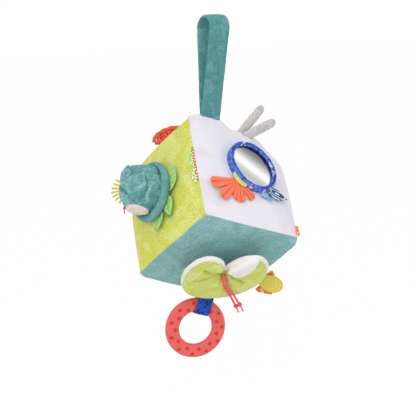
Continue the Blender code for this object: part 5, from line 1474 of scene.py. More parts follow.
def hood_point(share, turn):
    """Point of the hood's pad between its sections."""
    place = share * (len(HOOD_SECTIONS) - 1)
    index = min(int(place), len(HOOD_SECTIONS) - 2)
    t = place - index
    rows = [HOOD_SECTIONS[min(max(index + offset, 0), len(HOOD_SECTIONS) - 1)] for offset in (-1, 0, 1, 2)]
    values = []
    for before, start, stop, after in zip(*rows):
        bend = 2 * start + (stop - before) * t + (2 * before - 5 * start + 4 * stop - after) * t ** 2
        values.append((bend + (3 * start - before - 3 * stop + after) * t ** 3) / 2)
    height, width, depth, middle = values
    square = 0.66
    x = width * abs(cos(turn)) ** square * (1 if cos(turn) >= 0 else -1)
    y = depth * abs(sin(turn)) ** square * (1 if sin(turn) >= 0 else -1)
    return Vector((x, middle + y, height - KNOB_SET * ease((height - 0.0435) / 0.0050)))


def hood_folds(point, normal):
    """Soft folds of the hood: one across it before the knob, and small gathers along its length."""
    fold = groove(point.z - 0.0492 - 0.10 * point.x, 0.0012, 0.0014)
    lump = 0.0007 * grain(point, 0.010) + 0.0003 * grain(point, 0.0045)
    return point - normal * (fold - lump)


hood = round_piece("hood", 96, 96, hood_point, left_place, hood_folds)
finish_piece(hood, head_velour, "head", "head_velour", "head_hood")
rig.padded(hood, fill=0.8)

CHIN_SPOT = Vector((-0.0026, -0.0296, 0.0396))
CHIN_SIZE = Vector((0.0068, 0.0044, 0.0142))


def chin_point(share, turn):
    """Point of the chin's oval pad."""
    angle = pi * (0.02 + 0.96 * share)
    ring = sin(angle)
    return CHIN_SPOT + Vector((CHIN_SIZE.x * ring * cos(turn), CHIN_SIZE.y * ring * sin(turn),
                               -CHIN_SIZE.z * cos(angle)))


def plush_tufts(size, depth, seed=0.0):
    """Moves a surface out in the small uneven tufts of plush."""
    def tufted(point, normal):
        tuft = abs(grain(point, size, seed)) + 0.6 * abs(grain(point, size * 0.45, seed + 5))
        wide = grain(point, size * 5, seed + 9)
        return point + normal * depth * (0.9 - 1.6 * tuft + 0.5 * wide)
    return tufted


chin = round_piece("chin", 72, 96, chin_point, left_place, plush_tufts(0.0014, 0.0013, 3))
cream_plush = fibre_finish("cream_plush", srgb(238, 228, 220), srgb(214, 200, 190), scale=800.0, mottle=0.7,
                           bump=0.6, depth=0.0007, Sheen_Weight=0.5)
finish_piece(chin, cream_plush, "head", "chin_plush", "chin_patch")
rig.padded(chin, fill=0.9)


# Leaves round the collar: printed cotton with green veins and a green edge, sewn into the cuff's seam
# under the roll. They lie close over the lime face.
LEAF_HEIGHT = 0.0131
LEAF_THICK = 0.0012
cuff_spot = COLLAR_CUFF - 0.0004


def leaf_finish(name, vein_angle, vein_gap, dense):
    """Lime cotton with green veins on both sides of a green rib, and a green edge."""
    material, tree, shader = new_finish(name, Roughness=0.85, Sheen_Weight=0.2)
    spot = add_node(tree, "UVMap", uv_map="cut").outputs[0]
    apart = add_node(tree, "SeparateXYZ", {0: spot})
    x, y = apart.outputs[0], apart.outputs[1]
    side = add_node(tree, "Math", {0: y}, operation="ABSOLUTE").outputs[0]
    slant = math_node(tree, "MULTIPLY", side, vein_angle).outputs[0]
    along = math_node(tree, "SUBTRACT", x, slant).outputs[0]
    wobble = add_node(tree, "TexNoise", {"Vector": spot, "Scale": 2.5, "Detail": 2.0}).outputs["Fac"]
    along = math_node(tree, "ADD", along, wobble).outputs[0]
    wave = math_node(tree, "MULTIPLY", along, 2 * pi / vein_gap).outputs[0]
    sine = add_node(tree, "Math", {0: wave}, operation="SINE").outputs[0]
    vein = ramp_node(tree, sine, 1 - dense, 1.05 - dense / 2).outputs[0]
    rib = ramp_node(tree, side, 0.075, 0.045).outputs[0]
    edge = add_node(tree, "Attribute", attribute_name="edge").outputs["Fac"]
    rim = ramp_node(tree, edge, 0.09, 0.05).outputs[0]
    lines = math_node(tree, "MAXIMUM", vein, rib).outputs[0]
    inner = ramp_node(tree, edge, 0.12, 0.20).outputs[0]
    lines = math_node(tree, "MULTIPLY", lines, inner).outputs[0]
    lines = math_node(tree, "MAXIMUM", lines, rim).outputs[0]
    mottle = add_node(tree, "TexNoise", {"Vector": spot, "Scale": 5.0, "Detail": 3.0}).outputs["Fac"]
    base = add_node(tree, "Mix", {"Factor": mottle, "A": (*srgb(196, 214, 100), 1), "B": (*srgb(214, 222, 130), 1)},
                    data_type="RGBA").outputs["Result"]
    mix = mix_colours(tree, lines, base, (*srgb(66, 186, 104), 1))
    tree.links.new(mix.outputs["Result"], shader.inputs["Base Color"])
    return material


def edge_marks(piece, outline):
    """Writes each point's distance from the outline, in centimetres, on the piece for its printed edge."""
    mark = piece.data.attributes.new("edge", "FLOAT", "POINT")
    layer = piece.data.uv_layers["cut"].data
    flat = {}
    for loop in piece.data.loops:
        flat[loop.vertex_index] = layer[loop.index].uv.copy()
    ends = [Vector(point) * 100 for point in outline]
    for index, spot in flat.items():
        best = 10.0
        for here, after in zip(ends, ends[1:] + ends[:1]):
            along = after - here
            share = min(max((spot - here).dot(along) / max(along.length_squared, 1e-9), 0), 1)
            best = min(best, (spot - here - along * share).length)
        mark.data[index].value = best


vein_print = leaf_finish("vein_print", 0.7, 0.42, 0.62)
tangle_print = leaf_finish("tangle_print", -0.9, 0.26, 0.75)
round_outline = [(0.0168 * cos(2 * pi * step / 40), 0.0168 * sin(2 * pi * step / 40)) for step in range(40)]
round_outline = [(x, y) for x, y in round_outline if x > -0.004]
LEAVES = {
    "leaf_round": (round_outline, radians(0), radians(0), LEAF_HEIGHT, vein_print, "round_leaf", "leaf_print"),
    "leaf_middle": (pointed_oval(0.0262, 0.0150, 0.0110), radians(-44), radians(-88), LEAF_HEIGHT, tangle_print,
                    "middle_leaf", "leaf_print"),
    "leaf_low": (pointed_oval(0.0285, 0.0148, 0.0080), radians(-76), radians(-132), LEAF_HEIGHT, tangle_print,
                 "low_leaf", "leaf_print"),
    "leaf_back": (pointed_oval(0.0202, 0.0092, 0.0046), radians(-64), radians(-72), LEAF_HEIGHT - LEAF_THICK - 0.0003,
                  None, "block", "dark_leaf"),
}
dark_leaf = fibre_finish("dark_leaf", srgb(92, 168, 84), srgb(66, 140, 66), scale=700.0)
for node, (outline, turn, heading, height, material, body, slot) in LEAVES.items():
    seed = 50 + list(LEAVES).index(node)
    top, bottom = pillow(LEAF_THICK, 0.0008)
    place = left_place @ Matrix.Translation((cuff_spot * cos(turn), cuff_spot * sin(turn), height)) @ Matrix.Rotation(
        heading, 4, "Z")
    leaf = tag_piece("cloth_" + node, outline, 0.0009, top, bottom, place, lambda p, seed=seed: Vector((
        p.x, p.y, p.z + 0.0007 * grain((p.x, p.y, seed), 0.011) * ease(p.x / 0.010))))
    edge_marks(leaf, outline)
    finish_piece(leaf, material or dark_leaf, body, slot, node)
    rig.sheet(leaf, held="hung", rests_on=["collar_roll"], **cut_size(outline))


# Pocket: a bag of lime velour that opens towards the middle of the block. Its mouth is drawn in at one point,
# so its rim stands in two lobes, with a roll of white plush round them and plush turned out on the right one.
POUCH_UP = radians(125)
POUCH_HEIGHT = 0.0385
POUCH_BASE = 0.0400
POUCH_THICK = 0.0018
POUCH_LINING = 0.0026
POUCH_OUTLINE = (
    (0.0015, 0.0150, 0.0270), (0.0000, 0.0250, 0.0292), (-0.0040, 0.0420, 0.0312), (-0.0150, 0.0535, 0.0318),
    (-0.0290, 0.0520, 0.0318), (-0.0420, 0.0350, 0.0312), (-0.0490, 0.0120, 0.0305), (-0.0500, -0.0080, 0.0302),
    (-0.0455, -0.0280, 0.0300), (-0.0330, -0.0430, 0.0300), (-0.0130, -0.0520, 0.0300), (0.0110, -0.0525, 0.0300),
    (0.0320, -0.0435, 0.0300), (0.0480, -0.0270, 0.0300), (0.0540, -0.0080, 0.0302), (0.0545, 0.0100, 0.0306),
    (0.0500, 0.0290, 0.0312), (0.0405, 0.0410, 0.0316), (0.0290, 0.0430, 0.0316), (0.0190, 0.0380, 0.0310),
    (0.0105, 0.0285, 0.0298), (0.0048, 0.0200, 0.0282),
)
CINCH = Vector((0.0010, 0.0085))
LEFT_FOLD = (Vector((-0.001, 0.0100)), Vector((-0.0217, 0.0105)), Vector((-0.0449, 0.0038)))
RIGHT_FOLD = (Vector((0.003, 0.0060)), Vector((0.0184, -0.0055)), Vector((0.0320, -0.0190)))
LOBE_FOLD = (Vector((-0.0060, 0.0150)), Vector((-0.0180, 0.0240)), Vector((-0.0260, 0.0380)))
FLAT_SHARE = 0.60
rise_axis = Vector((cos(POUCH_UP), sin(POUCH_UP), 0))
across_axis = Vector((rise_axis.y, -rise_axis.x, 0))
pocket_place = face_places["bottom"] @ Matrix((across_axis, rise_axis, (0, 0, 1))).transposed().to_4x4()


def closed_line(route, spacing):
    """Smooth closed line through the route's points."""
    wrapped = [Vector(route[index % len(route)]) for index in range(-3, len(route) + 4)]
    line = smooth_line(wrapped, spacing)
    first = min(range(len(line) // 2), key=lambda index: (line[index] - wrapped[3]).length)
    last = min(range(len(line) // 2, len(line)), key=lambda index: (line[index] - wrapped[3]).length)
    return line[first:last]


pocket_outline = closed_line(POUCH_OUTLINE, 0.0011)


def away_from(point, line):
    """Distance of a flat point from a line of flat points, and its share along the line."""
    best = (1.0, 0.0)
    for index, (start, stop) in enumerate(zip(line, line[1:])):
        along = stop - start
        share = min(max((point - start).dot(along) / along.length_squared, 0), 1)
        best = min(best, ((point - start - along * share).length, (index + share) / (len(line) - 1)))
    return best


def pocket_dent(across, rise):
    """How far the cord, the folds and the gathers draw the bag's front in at that place."""
    spot = Vector((across, rise))
    reach = (spot - CINCH).length
    turn = atan2(rise - CINCH.y, across - CINCH.x)
    dent = 0.0095 * exp(-(reach / 0.0120) ** 2)
    folds = ((LEFT_FOLD, 0.0078, 0.0019), (RIGHT_FOLD, 0.0074, 0.0018), (LOBE_FOLD, 0.0056, 0.0018))
    for line, depth, width in folds:
        distance, share = away_from(spot, line)
        dent = max(dent, depth * exp(-(distance / width) ** 2) * ease((1 - share) / 0.35))
        dent += 0.26 * depth * exp(-(distance / width / 4.2) ** 2) * (1 - share)
    pleat = sin(turn * 9 + 2.0 * grain((across, rise, 51), 0.02)) * ease((reach - 0.002) / 0.006)
    dent += 0.0013 * pleat * exp(-(reach / 0.019) ** 2)
    return dent + 0.0012 * grain((across, rise, 52), 0.016) + 0.0004 * grain((across, rise, 53), 0.006)


def front_height(across, rise, reach, level, depth=0.0):
    """Height of the bag's front at that share of the way to its outline, which lies at that level."""
    if reach > FLAT_SHARE:
        fall = 1 - sqrt(max(0, 1 - ((reach - FLAT_SHARE) / (1 - FLAT_SHARE)) ** 2))
    else:
        fall = 0
    height = POUCH_HEIGHT - depth - (POUCH_HEIGHT - depth - level) * fall
    return height - pocket_dent(across, rise) * (1 - reach ** 6)


def bag(name, outer, thick, rim_share):
    """Closed shell of the bag, whose outer face lies that far inside the bag's own."""
    count = len(pocket_outline)
    rows_out, rows_wall = 56, 16

    def spot(share, turn):
        """Goes from the middle of the front to the outline, down the wall, and back inside."""
        index = round(turn / (2 * pi) * count) % count
        edge = pocket_outline[index]
        steps = share * 2 * (rows_out + rows_wall)
        depth = outer
        if steps > rows_out + rows_wall:
            steps = 2 * (rows_out + rows_wall) - steps
            depth = outer + thick
        lobe = ease((edge.y + 0.012) / 0.016)
        flat = Vector((edge.x, edge.y))
        size = (flat.length - depth) / flat.length * (1 - (1 - rim_share) * lobe)
        if steps <= rows_out:
            reach = steps / rows_out
            x, y = flat * size * reach
            level = edge.z - depth * 0.5
            return Vector((x, y, front_height(x, y, reach, level, depth)))
        down = (steps - rows_out) / rows_wall * (1 - lobe)
        base = flat.normalized() * (POUCH_BASE - depth)
        side = flat * size
        ground = skin_rise(base.x, base.y) - 0.0012
        bend = sin(down * pi / 2)
        x, y = side + (base - side) * (1 - cos(down * pi / 2) ** 0.8)
        level = edge.z - depth * 0.5
        sag = 0.0010 * grain((x, y, 54 + level), 0.012) * bend
        return Vector((x, y, level + (ground - level) * bend)) * (1 + sag)

    return round_piece(name, 2 * (rows_out + rows_wall), count, spot, pocket_place)


pocket = bag("pocket_velour", 0.0, POUCH_THICK, 0.965)
pocket_lime = velour_finish("pocket_lime", srgb(204, 214, 106), srgb(226, 232, 158), srgb(172, 186, 74),
                            patch=34.0, grain_scale=520.0)
finish_piece(pocket, pocket_lime, "block", "lime_velour", "pouch_front")
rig.padded(pocket, fill=0.4)
white_plush = fibre_finish("white_plush", srgb(246, 243, 240), srgb(222, 217, 212), scale=700.0, mottle=0.6,
                           bump=0.7, depth=0.0008, Sheen_Weight=0.5)
pocket_lining = bag("pocket_lining", POUCH_THICK + 0.0003, POUCH_LINING, 0.975)
finish_piece(pocket_lining, white_plush, "block", "plush", "pouch_lining")
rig.padded(pocket_lining, fill=0.4)

# Plush roll along the rim: it follows the outline over both lobes and thins out at the cinch
ROLL_RADIUS = 0.0029
lobe_points = [point for point in pocket_outline if point.y > -0.016]
start = max(range(len(lobe_points)), key=lambda index: (
    lobe_points[index] - lobe_points[index - 1]).length)
lobe_points = lobe_points[start:] + lobe_points[:start]
roll_line = []
for index, point in enumerate(lobe_points):
    inward = Vector((-point.x, -point.y, 0)).normalized() * 0.0012
    roll_line.append(point + inward + Vector((0, 0, 0.0006)))
ROLL_SIDES = 40


def roll_section(index, run):
    """Round section of the plush roll, thinner at its ends and where the cord draws it in."""
    share = index / (len(roll_line) - 1)
    near = (Vector(roll_line[index][:2]) - CINCH).length
    size = ROLL_RADIUS * (1 - 0.45 * exp(-(near / 0.014) ** 2)) * sqrt(sin(pi * min(max(share, 0.004), 0.996)))
    size *= 1 + 0.10 * grain((run, 0, 55), 0.010)
    turns = [2 * pi * side / ROLL_SIDES for side in range(ROLL_SIDES)]
    return [(size * cos(turn), size * sin(turn)) for turn in turns]


def plush(name, vertices, faces, size, depth, place):
    """Plush piece of that skin, with its surface raised in tufts."""
    piece = outward(add_piece(name, vertices, faces))
    tufted = plush_tufts(size, depth, 7)
    shape = bmesh.new()
    shape.from_mesh(piece.data)
    shape.normal_update()
    moves = [(vertex, tufted(vertex.co.copy(), vertex.normal.copy())) for vertex in shape.verts]
    for vertex, moved in moves:
        vertex.co = moved
    shape.to_mesh(piece.data)
    shape.free()
    piece.data.transform(place)
    return piece


roll_fine = smooth_line(roll_line[::2], 0.0006)
roll_line = roll_fine
vertices, faces = sweep(roll_fine, roll_section)
roll = plush("plush_rim", vertices, faces, 0.0016, 0.0009, pocket_place)
finish_piece(roll, white_plush, "block", "plush")
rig.padded(roll, fill=0.9)

# Plush turned out over the front of the right lobe
TURNED_OUT = ((0.0050, 0.0190), (0.0115, 0.0300), (0.0195, 0.0395), (0.0300, 0.0440), (0.0410, 0.0415),
              (0.0375, 0.0310), (0.0320, 0.0205), (0.0245, 0.0120), (0.0160, 0.0085), (0.0090, 0.0115))
turned_line = [(point.x, point.y) for point in closed_line([(*spot, 0) for spot in TURNED_OUT], 0.0015)]
outline_rays = sorted((atan2(point.y, point.x), Vector(point[:2]).length, point.z) for point in pocket_outline)


def on_front(point):
    """Lays a flat point of the patch on the bag's front."""
    turn = atan2(point.y, point.x)
    _, radius, level = min(outline_rays, key=lambda ray: abs(ray[0] - turn))
    reach = min(hypot(point.x, point.y) / radius, 1)
    return Vector((point.x, point.y, front_height(point.x, point.y, reach, level) + point.z + 0.0006))


top, bottom = pillow(0.0052, 0.0042)
patch = tag_piece("plush_turned_out", turned_line, 0.0006, top, bottom, Matrix.Identity(4), on_front)
tufted = plush_tufts(0.0016, 0.0009, 11)
shape = bmesh.new()
shape.from_mesh(patch.data)
shape.normal_update()
moves = [(vertex, tufted(vertex.co.copy(), vertex.normal.copy())) for vertex in shape.verts]
for vertex, moved in moves:
    vertex.co = moved
shape.to_mesh(patch.data)
shape.free()
patch.data.transform(pocket_place)
finish_piece(patch, white_plush, "block", "plush")
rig.padded(patch, fill=0.9)


# Ribbon: a strip of printed satin folded over the teething ring, whose ends are sewn into the seam between
# the two teal faces.
RING_PLACE = Matrix(((0.904503, -0.350907, 0.242361), (-0.258819, 0, 0.965926), (-0.338951, -0.93641, -0.090822)))
RING_SPOT = Vector((-0.027386, 0, -0.394808))
ring_place = Matrix.Translation(RING_SPOT) @ RING_PLACE.to_4x4()
RIBBON_SPOT = Vector((-0.006121, 0, -0.338062))
ribbon_place = Matrix.Translation(RIBBON_SPOT) @ Matrix((
    (0.93641, -0.350907, 0), (0, 0, 1), (-0.350907, -0.93641, 0))).to_4x4()
RIBBON_WIDTH = 0.0200
RIBBON_THICK = 0.0009
RIBBON_ROOT = 0.0018
RIBBON_SHOULDER = 0.0200
RIBBON_LOW = 0.0418
RIBBON_HALF = 0.00735
RIBBON_TWIST = radians(15)
RIBBON_CORNER = 0.0044
ribbon_side = [
    (0.0006, -0.0035), (0.0009, RIBBON_ROOT), (0.0014, 0.0070), (0.0034, 0.0135),
    (RIBBON_HALF - 0.0005, RIBBON_SHOULDER), (RIBBON_HALF - 0.0005, RIBBON_LOW - RIBBON_CORNER),
    (RIBBON_HALF - 0.0022, RIBBON_LOW - 0.0016), (0.0026, RIBBON_LOW - 0.0004),
]
ribbon_route = [Vector((x, y, 0)) for x, y in ribbon_side] + [
    Vector((-x, y, 0)) for x, y in reversed(ribbon_side)]
ribbon_line = smooth_line(ribbon_route, 0.0008)
RIBBON_CELLS = 20
ribbon_vertices = []
ribbon_flat = []
run = 0
for index, point in enumerate(ribbon_line):
    before = ribbon_line[max(index - 1, 0)]
    after = ribbon_line[min(index + 1, len(ribbon_line) - 1)]
    heading = (after - before).normalized()
    out = Vector((heading.y, -heading.x, 0))
    if index:
        run += (point - ribbon_line[index - 1]).length
    for side in (1, -1):
        for cell in range(RIBBON_CELLS + 1):
            across = RIBBON_WIDTH * (cell / RIBBON_CELLS - 0.5)
            edge = abs(across) / (RIBBON_WIDTH / 2)
            thick = RIBBON_THICK / 2 * sqrt(max(0.0, 1 - edge ** 14)) + 0.00005
            sway = 0.0003 * grain((across, run, 61), 0.008)
            spot = point + out * (side * thick + sway)
            twist = RIBBON_TWIST * ease((spot.y - RIBBON_ROOT) / (RIBBON_SHOULDER - RIBBON_ROOT))
            x, z = spot.x, across
            ribbon_vertices.append(Vector((
                z * cos(twist) + x * sin(twist), spot.y, -z * sin(twist) + x * cos(twist))))
            ribbon_flat.append((across * 100, run * 100))
ribbon_faces = []
row_size = 2 * (RIBBON_CELLS + 1)
for index in range(len(ribbon_line) - 1):
    low = index * row_size
    high = low + row_size
    for cell in range(RIBBON_CELLS):
        ribbon_faces.append((low + cell, low + cell + 1, high + cell + 1, high + cell))
        back_low = low + RIBBON_CELLS + 1
        back_high = high + RIBBON_CELLS + 1
        ribbon_faces.append((back_low + cell, back_high + cell, back_high + cell + 1, back_low + cell + 1))
    for cell in (0, RIBBON_CELLS):
        ribbon_faces.append((
            low + cell, high + cell, high + RIBBON_CELLS + 1 + cell, low + RIBBON_CELLS + 1 + cell))
for low in (0, (len(ribbon_line) - 1) * row_size):
    for cell in range(RIBBON_CELLS):
        ribbon_faces.append((
            low + cell, low + cell + 1, low + RIBBON_CELLS + 2 + cell, low + RIBBON_CELLS + 1 + cell))
ribbon = outward(add_piece("ribbon", ribbon_vertices, ribbon_faces, ribbon_place, ribbon_flat))
satin_dots, tree, shader = new_finish("satin_dots", Roughness=0.6, Specular_IOR_Level=0.3)
satin_spot = add_node(tree, "UVMap", uv_map="cut").outputs[0]
satin_cells = add_node(tree, "TexVoronoi", {"Vector": satin_spot, "Scale": 2.4, "Randomness": 0.55})
satin_dot = ramp_node(tree, satin_cells.outputs["Distance"], 0.42, 0.36)
satin_mix = mix_colours(tree, satin_dot.outputs[0], (*srgb(12, 78, 186), 1), (*srgb(6, 18, 78), 1))
tree.links.new(satin_mix.outputs["Result"], shader.inputs["Base Color"])
satin_weave = use_effect(tree, plain_weave, {"Threads": 24.0})
add_relief(tree, shader, 0.25, 0.0002, satin_weave.outputs["Height"])
ribbon.data.materials.append(satin_dots)
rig.slot(ribbon, "blue_ribbon")
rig.replaces(ribbon, "ribbon_loop")
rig.sheet(ribbon, flat=(RIBBON_WIDTH, round(line_length(ribbon_line), 3)), held="folded", rests_on=["teether"])
ribbon_down = Vector((-0.350907, 0, -0.93641))
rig.blend(ribbon, "block", "ribbon", start=tuple(RIBBON_SPOT), end=tuple(RIBBON_SPOT + ribbon_down * 0.010))


# Teething ring: moulded soft silicone with a rounded square section and two staggered rows of small round
# bumps on each side. The bumps are coloured a deeper red.
RING_RADIUS = 0.0406
RING_BORE = 0.0225
RING_THICK = 0.0105
BUMP_RADIUS = 0.0026
BUMP_HEIGHT = 0.0011
BUMP_COUNT = 22
TEETHER_STEPS = 264
TEETHER_SIDES = 56
teether_middle = (RING_RADIUS + RING_BORE) / 2
teether_half = (RING_RADIUS - RING_BORE) / 2
bump_spots = []
for index in range(BUMP_COUNT):
    turn = 2 * pi * index / BUMP_COUNT
    reach = teether_middle + teether_half * (0.40 if index % 2 else -0.32)
    bump_spots.append(Vector((reach * cos(turn), reach * sin(turn))))
teether_points = []
teether_bumps = []
for step in range(TEETHER_STEPS):
    turn = 2 * pi * step / TEETHER_STEPS
    for side in range(TEETHER_SIDES):
        around = 2 * pi * side / TEETHER_SIDES
        power = 0.74
        out = teether_half * abs(cos(around)) ** power * (1 if cos(around) >= 0 else -1)
        lift = RING_THICK / 2 * abs(sin(around)) ** power * (1 if sin(around) >= 0 else -1)
        spot = Vector(((teether_middle + out) * cos(turn), (teether_middle + out) * sin(turn)))
        near = min((spot - bump).length for bump in bump_spots)
        share = min(near / BUMP_RADIUS, 1)
        swell = BUMP_HEIGHT * (1 - share ** 2) ** 0.8 if share < 1 else 0
        face = ease((abs(sin(around)) - 0.45) / 0.3)
        lift += (1 if lift >= 0 else -1) * swell * face
        teether_points.append(Vector((spot.x, spot.y, lift)))
        teether_bumps.append(ease((1.12 - near / BUMP_RADIUS) / 0.30) * face)
teether_faces = []
for step in range(TEETHER_STEPS):
    after = (step + 1) % TEETHER_STEPS
    for side in range(TEETHER_SIDES):
        beside = (side + 1) % TEETHER_SIDES
        teether_faces.append((
            step * TEETHER_SIDES + side, after * TEETHER_SIDES + side,
            after * TEETHER_SIDES + beside, step * TEETHER_SIDES + beside))
teether = outward(add_piece("teether", teether_points, teether_faces, ring_place))
bump_mark = teether.data.attributes.new("bump", "FLOAT", "POINT")
for index, value in enumerate(teether_bumps):
    bump_mark.data[index].value = value
coral_silicone, tree, shader = new_finish("coral_silicone", Roughness=0.42, Subsurface_Weight=0.12)
shader.inputs["Subsurface Radius"].default_value = (0.004, 0.0015, 0.001)
coral_mark = add_node(tree, "Attribute", attribute_name="bump").outputs["Fac"]
coral_mix = mix_colours(tree, coral_mark, (*srgb(228, 94, 84), 1), (*srgb(206, 12, 40), 1))
tree.links.new(coral_mix.outputs["Result"], shader.inputs["Base Color"])
coral_spot = add_node(tree, "TexCoord").outputs["Object"]
coral_noise = add_node(tree, "TexNoise", {"Vector": coral_spot, "Scale": 500.0, "Detail": 3.0})
coral_rough = add_node(tree, "MapRange", {
    "Value": coral_noise.outputs["Fac"], "To Min": 0.36, "To Max": 0.52})
tree.links.new(coral_rough.outputs[0], shader.inputs["Roughness"])
add_relief(tree, shader, 0.12, 0.0002, coral_noise.outputs["Fac"])
finish_piece(teether, coral_silicone, "ring", "coral", "teething_ring")


# Seam pieces of one sheet: felt fan, corner tag and oval tag with its strip. Each is cut flat and its root is
# caught between two panels, so it starts a little inside the seam.
ROOT_INSIDE = 0.0045
SEAM_OUT = 0.0990
seam_turns = {
    "felt": ((0.248129, 0.707107, 0.662142), (-0.837596, 0.5, -0.220076)),
    "corner": ((0.248129, 0.707107, 0.662142), (0.837596, -0.5, 0.220076)),
    "oval": ((-0.248129, 0.707107, -0.662142), (0.486688, -0.5, -0.716334)),
    "strap": ((0.93641, 0, -0.350908), (0.350907, 0, 0.93641)),
}
seam_places = {}
for name, (along, out) in seam_turns.items():
    along, out = Vector(along), Vector(out)
    turning = Matrix((along, out, along.cross(out))).transposed().to_4x4()
    middle = Vector((-0.005, 0, -0.232765)) + out * SEAM_OUT
    seam_places[name] = Matrix.Translation(middle) @ turning


def ridge_rise(along):
    """Height of a seam's ridge above the cube's straight edge."""
    share = abs(along) / HALF
    return sqrt(2) * (EDGE_BOW * (1 - share ** 2) - CORNER_DRAW * share ** CORNER_SHARE)


# Felt fan: yellow felt with eleven blunt spikes
FELT_ALONG = 0.0530
FELT_RADIUS = 0.0125
FELT_SPIKE = 0.0250
FELT_THICK = 0.0016
FELT_SPIKES = 11
felt_outline = [(FELT_RADIUS, -ROOT_INSIDE), (FELT_RADIUS, 0)]
for spike in range(FELT_SPIKES):
    middle = pi * (spike + 0.5) / FELT_SPIKES
    half = pi / FELT_SPIKES * 0.23
    gap = pi / FELT_SPIKES * 0.42
    for radius, turn in ((FELT_RADIUS, middle - gap), (FELT_SPIKE * 0.97, middle - half), (FELT_SPIKE, middle),
                         (FELT_SPIKE * 0.97, middle + half), (FELT_RADIUS, middle + gap)):
        felt_outline.append((radius * cos(turn), 0.0012 + radius * sin(turn)))
felt_outline += [(-FELT_RADIUS, 0), (-FELT_RADIUS, -ROOT_INSIDE)]
top, bottom = pillow(FELT_THICK, 0.0004)
felt_place = seam_places["felt"] @ Matrix.Translation((FELT_ALONG, 0, 0))
felt_fan = tag_piece("spiked_felt", felt_outline, 0.0007, top, bottom, felt_place, lambda p: Vector((
    p.x, p.y, p.z + 0.0009 * grain((p.x, p.y, 71), 0.009) * ease(p.y / 0.012))))
yellow_felt = fibre_finish("yellow_felt", srgb(222, 212, 62), srgb(204, 190, 44), scale=900.0, mottle=0.8,
                           bump=0.5, depth=0.0004)
finish_piece(felt_fan, yellow_felt, "felt", "yellow_felt", "felt_fan")
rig.sheet(felt_fan, held="hung", **cut_size(felt_outline))

# Corner tag: a folded strip of orange felt with a white print of small drops
CORNER_ALONG = -0.0605
CORNER_HALF = 0.0075
CORNER_REACH = 0.0034
CORNER_THICK = 0.0012
corner_level = ridge_rise(CORNER_ALONG)
corner_outline = [(-CORNER_HALF, -ROOT_INSIDE), (CORNER_HALF, -ROOT_INSIDE), (CORNER_HALF, corner_level + 0.001),
                  (CORNER_HALF * 0.8, corner_level + CORNER_REACH * 0.96),
                  (-CORNER_HALF * 0.9, corner_level + CORNER_REACH), (-CORNER_HALF, corner_level + 0.001)]
top, bottom = pillow(CORNER_THICK, 0.0007)
corner_place = seam_places["corner"] @ Matrix.Translation((CORNER_ALONG, 0, 0))
corner_tag = tag_piece("folded_corner_tag", corner_outline, 0.0006, top, bottom, corner_place)
drop_print, tree, shader = new_finish("drop_print", Roughness=0.85, Sheen_Weight=0.3)
drop_spot = add_node(tree, "UVMap", uv_map="cut").outputs[0]
drop_cells = add_node(tree, "TexVoronoi", {"Vector": drop_spot, "Scale": 3.4, "Randomness": 0.35})
drop_mask = ramp_node(tree, drop_cells.outputs["Distance"], 0.30, 0.24)
drop_mix = mix_colours(tree, drop_mask.outputs[0], (*srgb(236, 120, 62), 1), (*srgb(244, 236, 226), 1))
tree.links.new(drop_mix.outputs["Result"], shader.inputs["Base Color"])
corner_weave = use_effect(tree, plain_weave, {"Threads": 22.0})
add_relief(tree, shader, 0.3, 0.0002, corner_weave.outputs["Height"])
finish_piece(corner_tag, drop_print, "corner_tag", "orange_felt", "corner_tag")

# Oval tag: yellow cotton printed with rings inside an orange edge, sewn on a strip of orange felt
OVAL_ALONG = 0.0110
OVAL_OUT = 0.0270
OVAL_LENGTH = 0.0340
OVAL_WIDTH = 0.0270
OVAL_THICK = 0.0014
OVAL_LAYER = 0.00155
OVAL_TILT = radians(149)
oval_outline = [(OVAL_LENGTH / 2 * cos(pi * step / 30), OVAL_WIDTH / 2 * sin(pi * step / 30)) for step in range(60)]
top, bottom = pillow(OVAL_THICK, 0.0008)
oval_place = seam_places["oval"] @ Matrix.Translation((OVAL_ALONG, OVAL_OUT, OVAL_LAYER)) @ Matrix.Rotation(
    OVAL_TILT, 4, "Z")
oval_tag = tag_piece("ringed_oval", oval_outline, 0.0008, top, bottom, oval_place)
ring_print, tree, shader = new_finish("ring_print", Roughness=0.85, Sheen_Weight=0.2)
oval_spot = add_node(tree, "UVMap", uv_map="cut").outputs[0]
oval_apart = add_node(tree, "SeparateXYZ", {0: oval_spot})
oval_tall = math_node(tree, "MULTIPLY", oval_apart.outputs[1], OVAL_LENGTH / OVAL_WIDTH)
oval_round = add_node(tree, "CombineXYZ", {0: oval_apart.outputs[0], 1: oval_tall.outputs[0]})
oval_reach = add_node(tree, "VectorMath", {0: oval_round.outputs[0]}, operation="LENGTH")
oval_wobble = add_node(tree, "TexNoise", {"Vector": oval_spot, "Scale": 1.8}).outputs["Fac"]
oval_wobbled = math_node(tree, "MULTIPLY", oval_wobble, 0.22)
oval_level = math_node(tree, "ADD", oval_reach.outputs["Value"], oval_wobbled.outputs[0])
oval_wave = math_node(tree, "MULTIPLY", oval_level.outputs[0], 2 * pi / 0.56)
oval_sine = add_node(tree, "Math", {0: oval_wave.outputs[0]}, operation="SINE")
oval_line = ramp_node(tree, oval_sine.outputs[0], 0.25, 0.60)
oval_edge = ramp_node(tree, oval_reach.outputs["Value"], OVAL_LENGTH * 50 - 0.16, OVAL_LENGTH * 50 - 0.11)
oval_base = mix_colours(tree, oval_line.outputs[0], (*srgb(234, 212, 72), 1), (*srgb(198, 208, 116), 1))
oval_mix = mix_colours(tree, oval_edge.outputs[0], oval_base.outputs["Result"], (*srgb(226, 158, 30), 1))
tree.links.new(oval_mix.outputs["Result"], shader.inputs["Base Color"])
finish_piece(oval_tag, ring_print, "oval", "yellow_cotton", "oval_tag")
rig.sheet(oval_tag, held="hung", **cut_size(oval_outline))

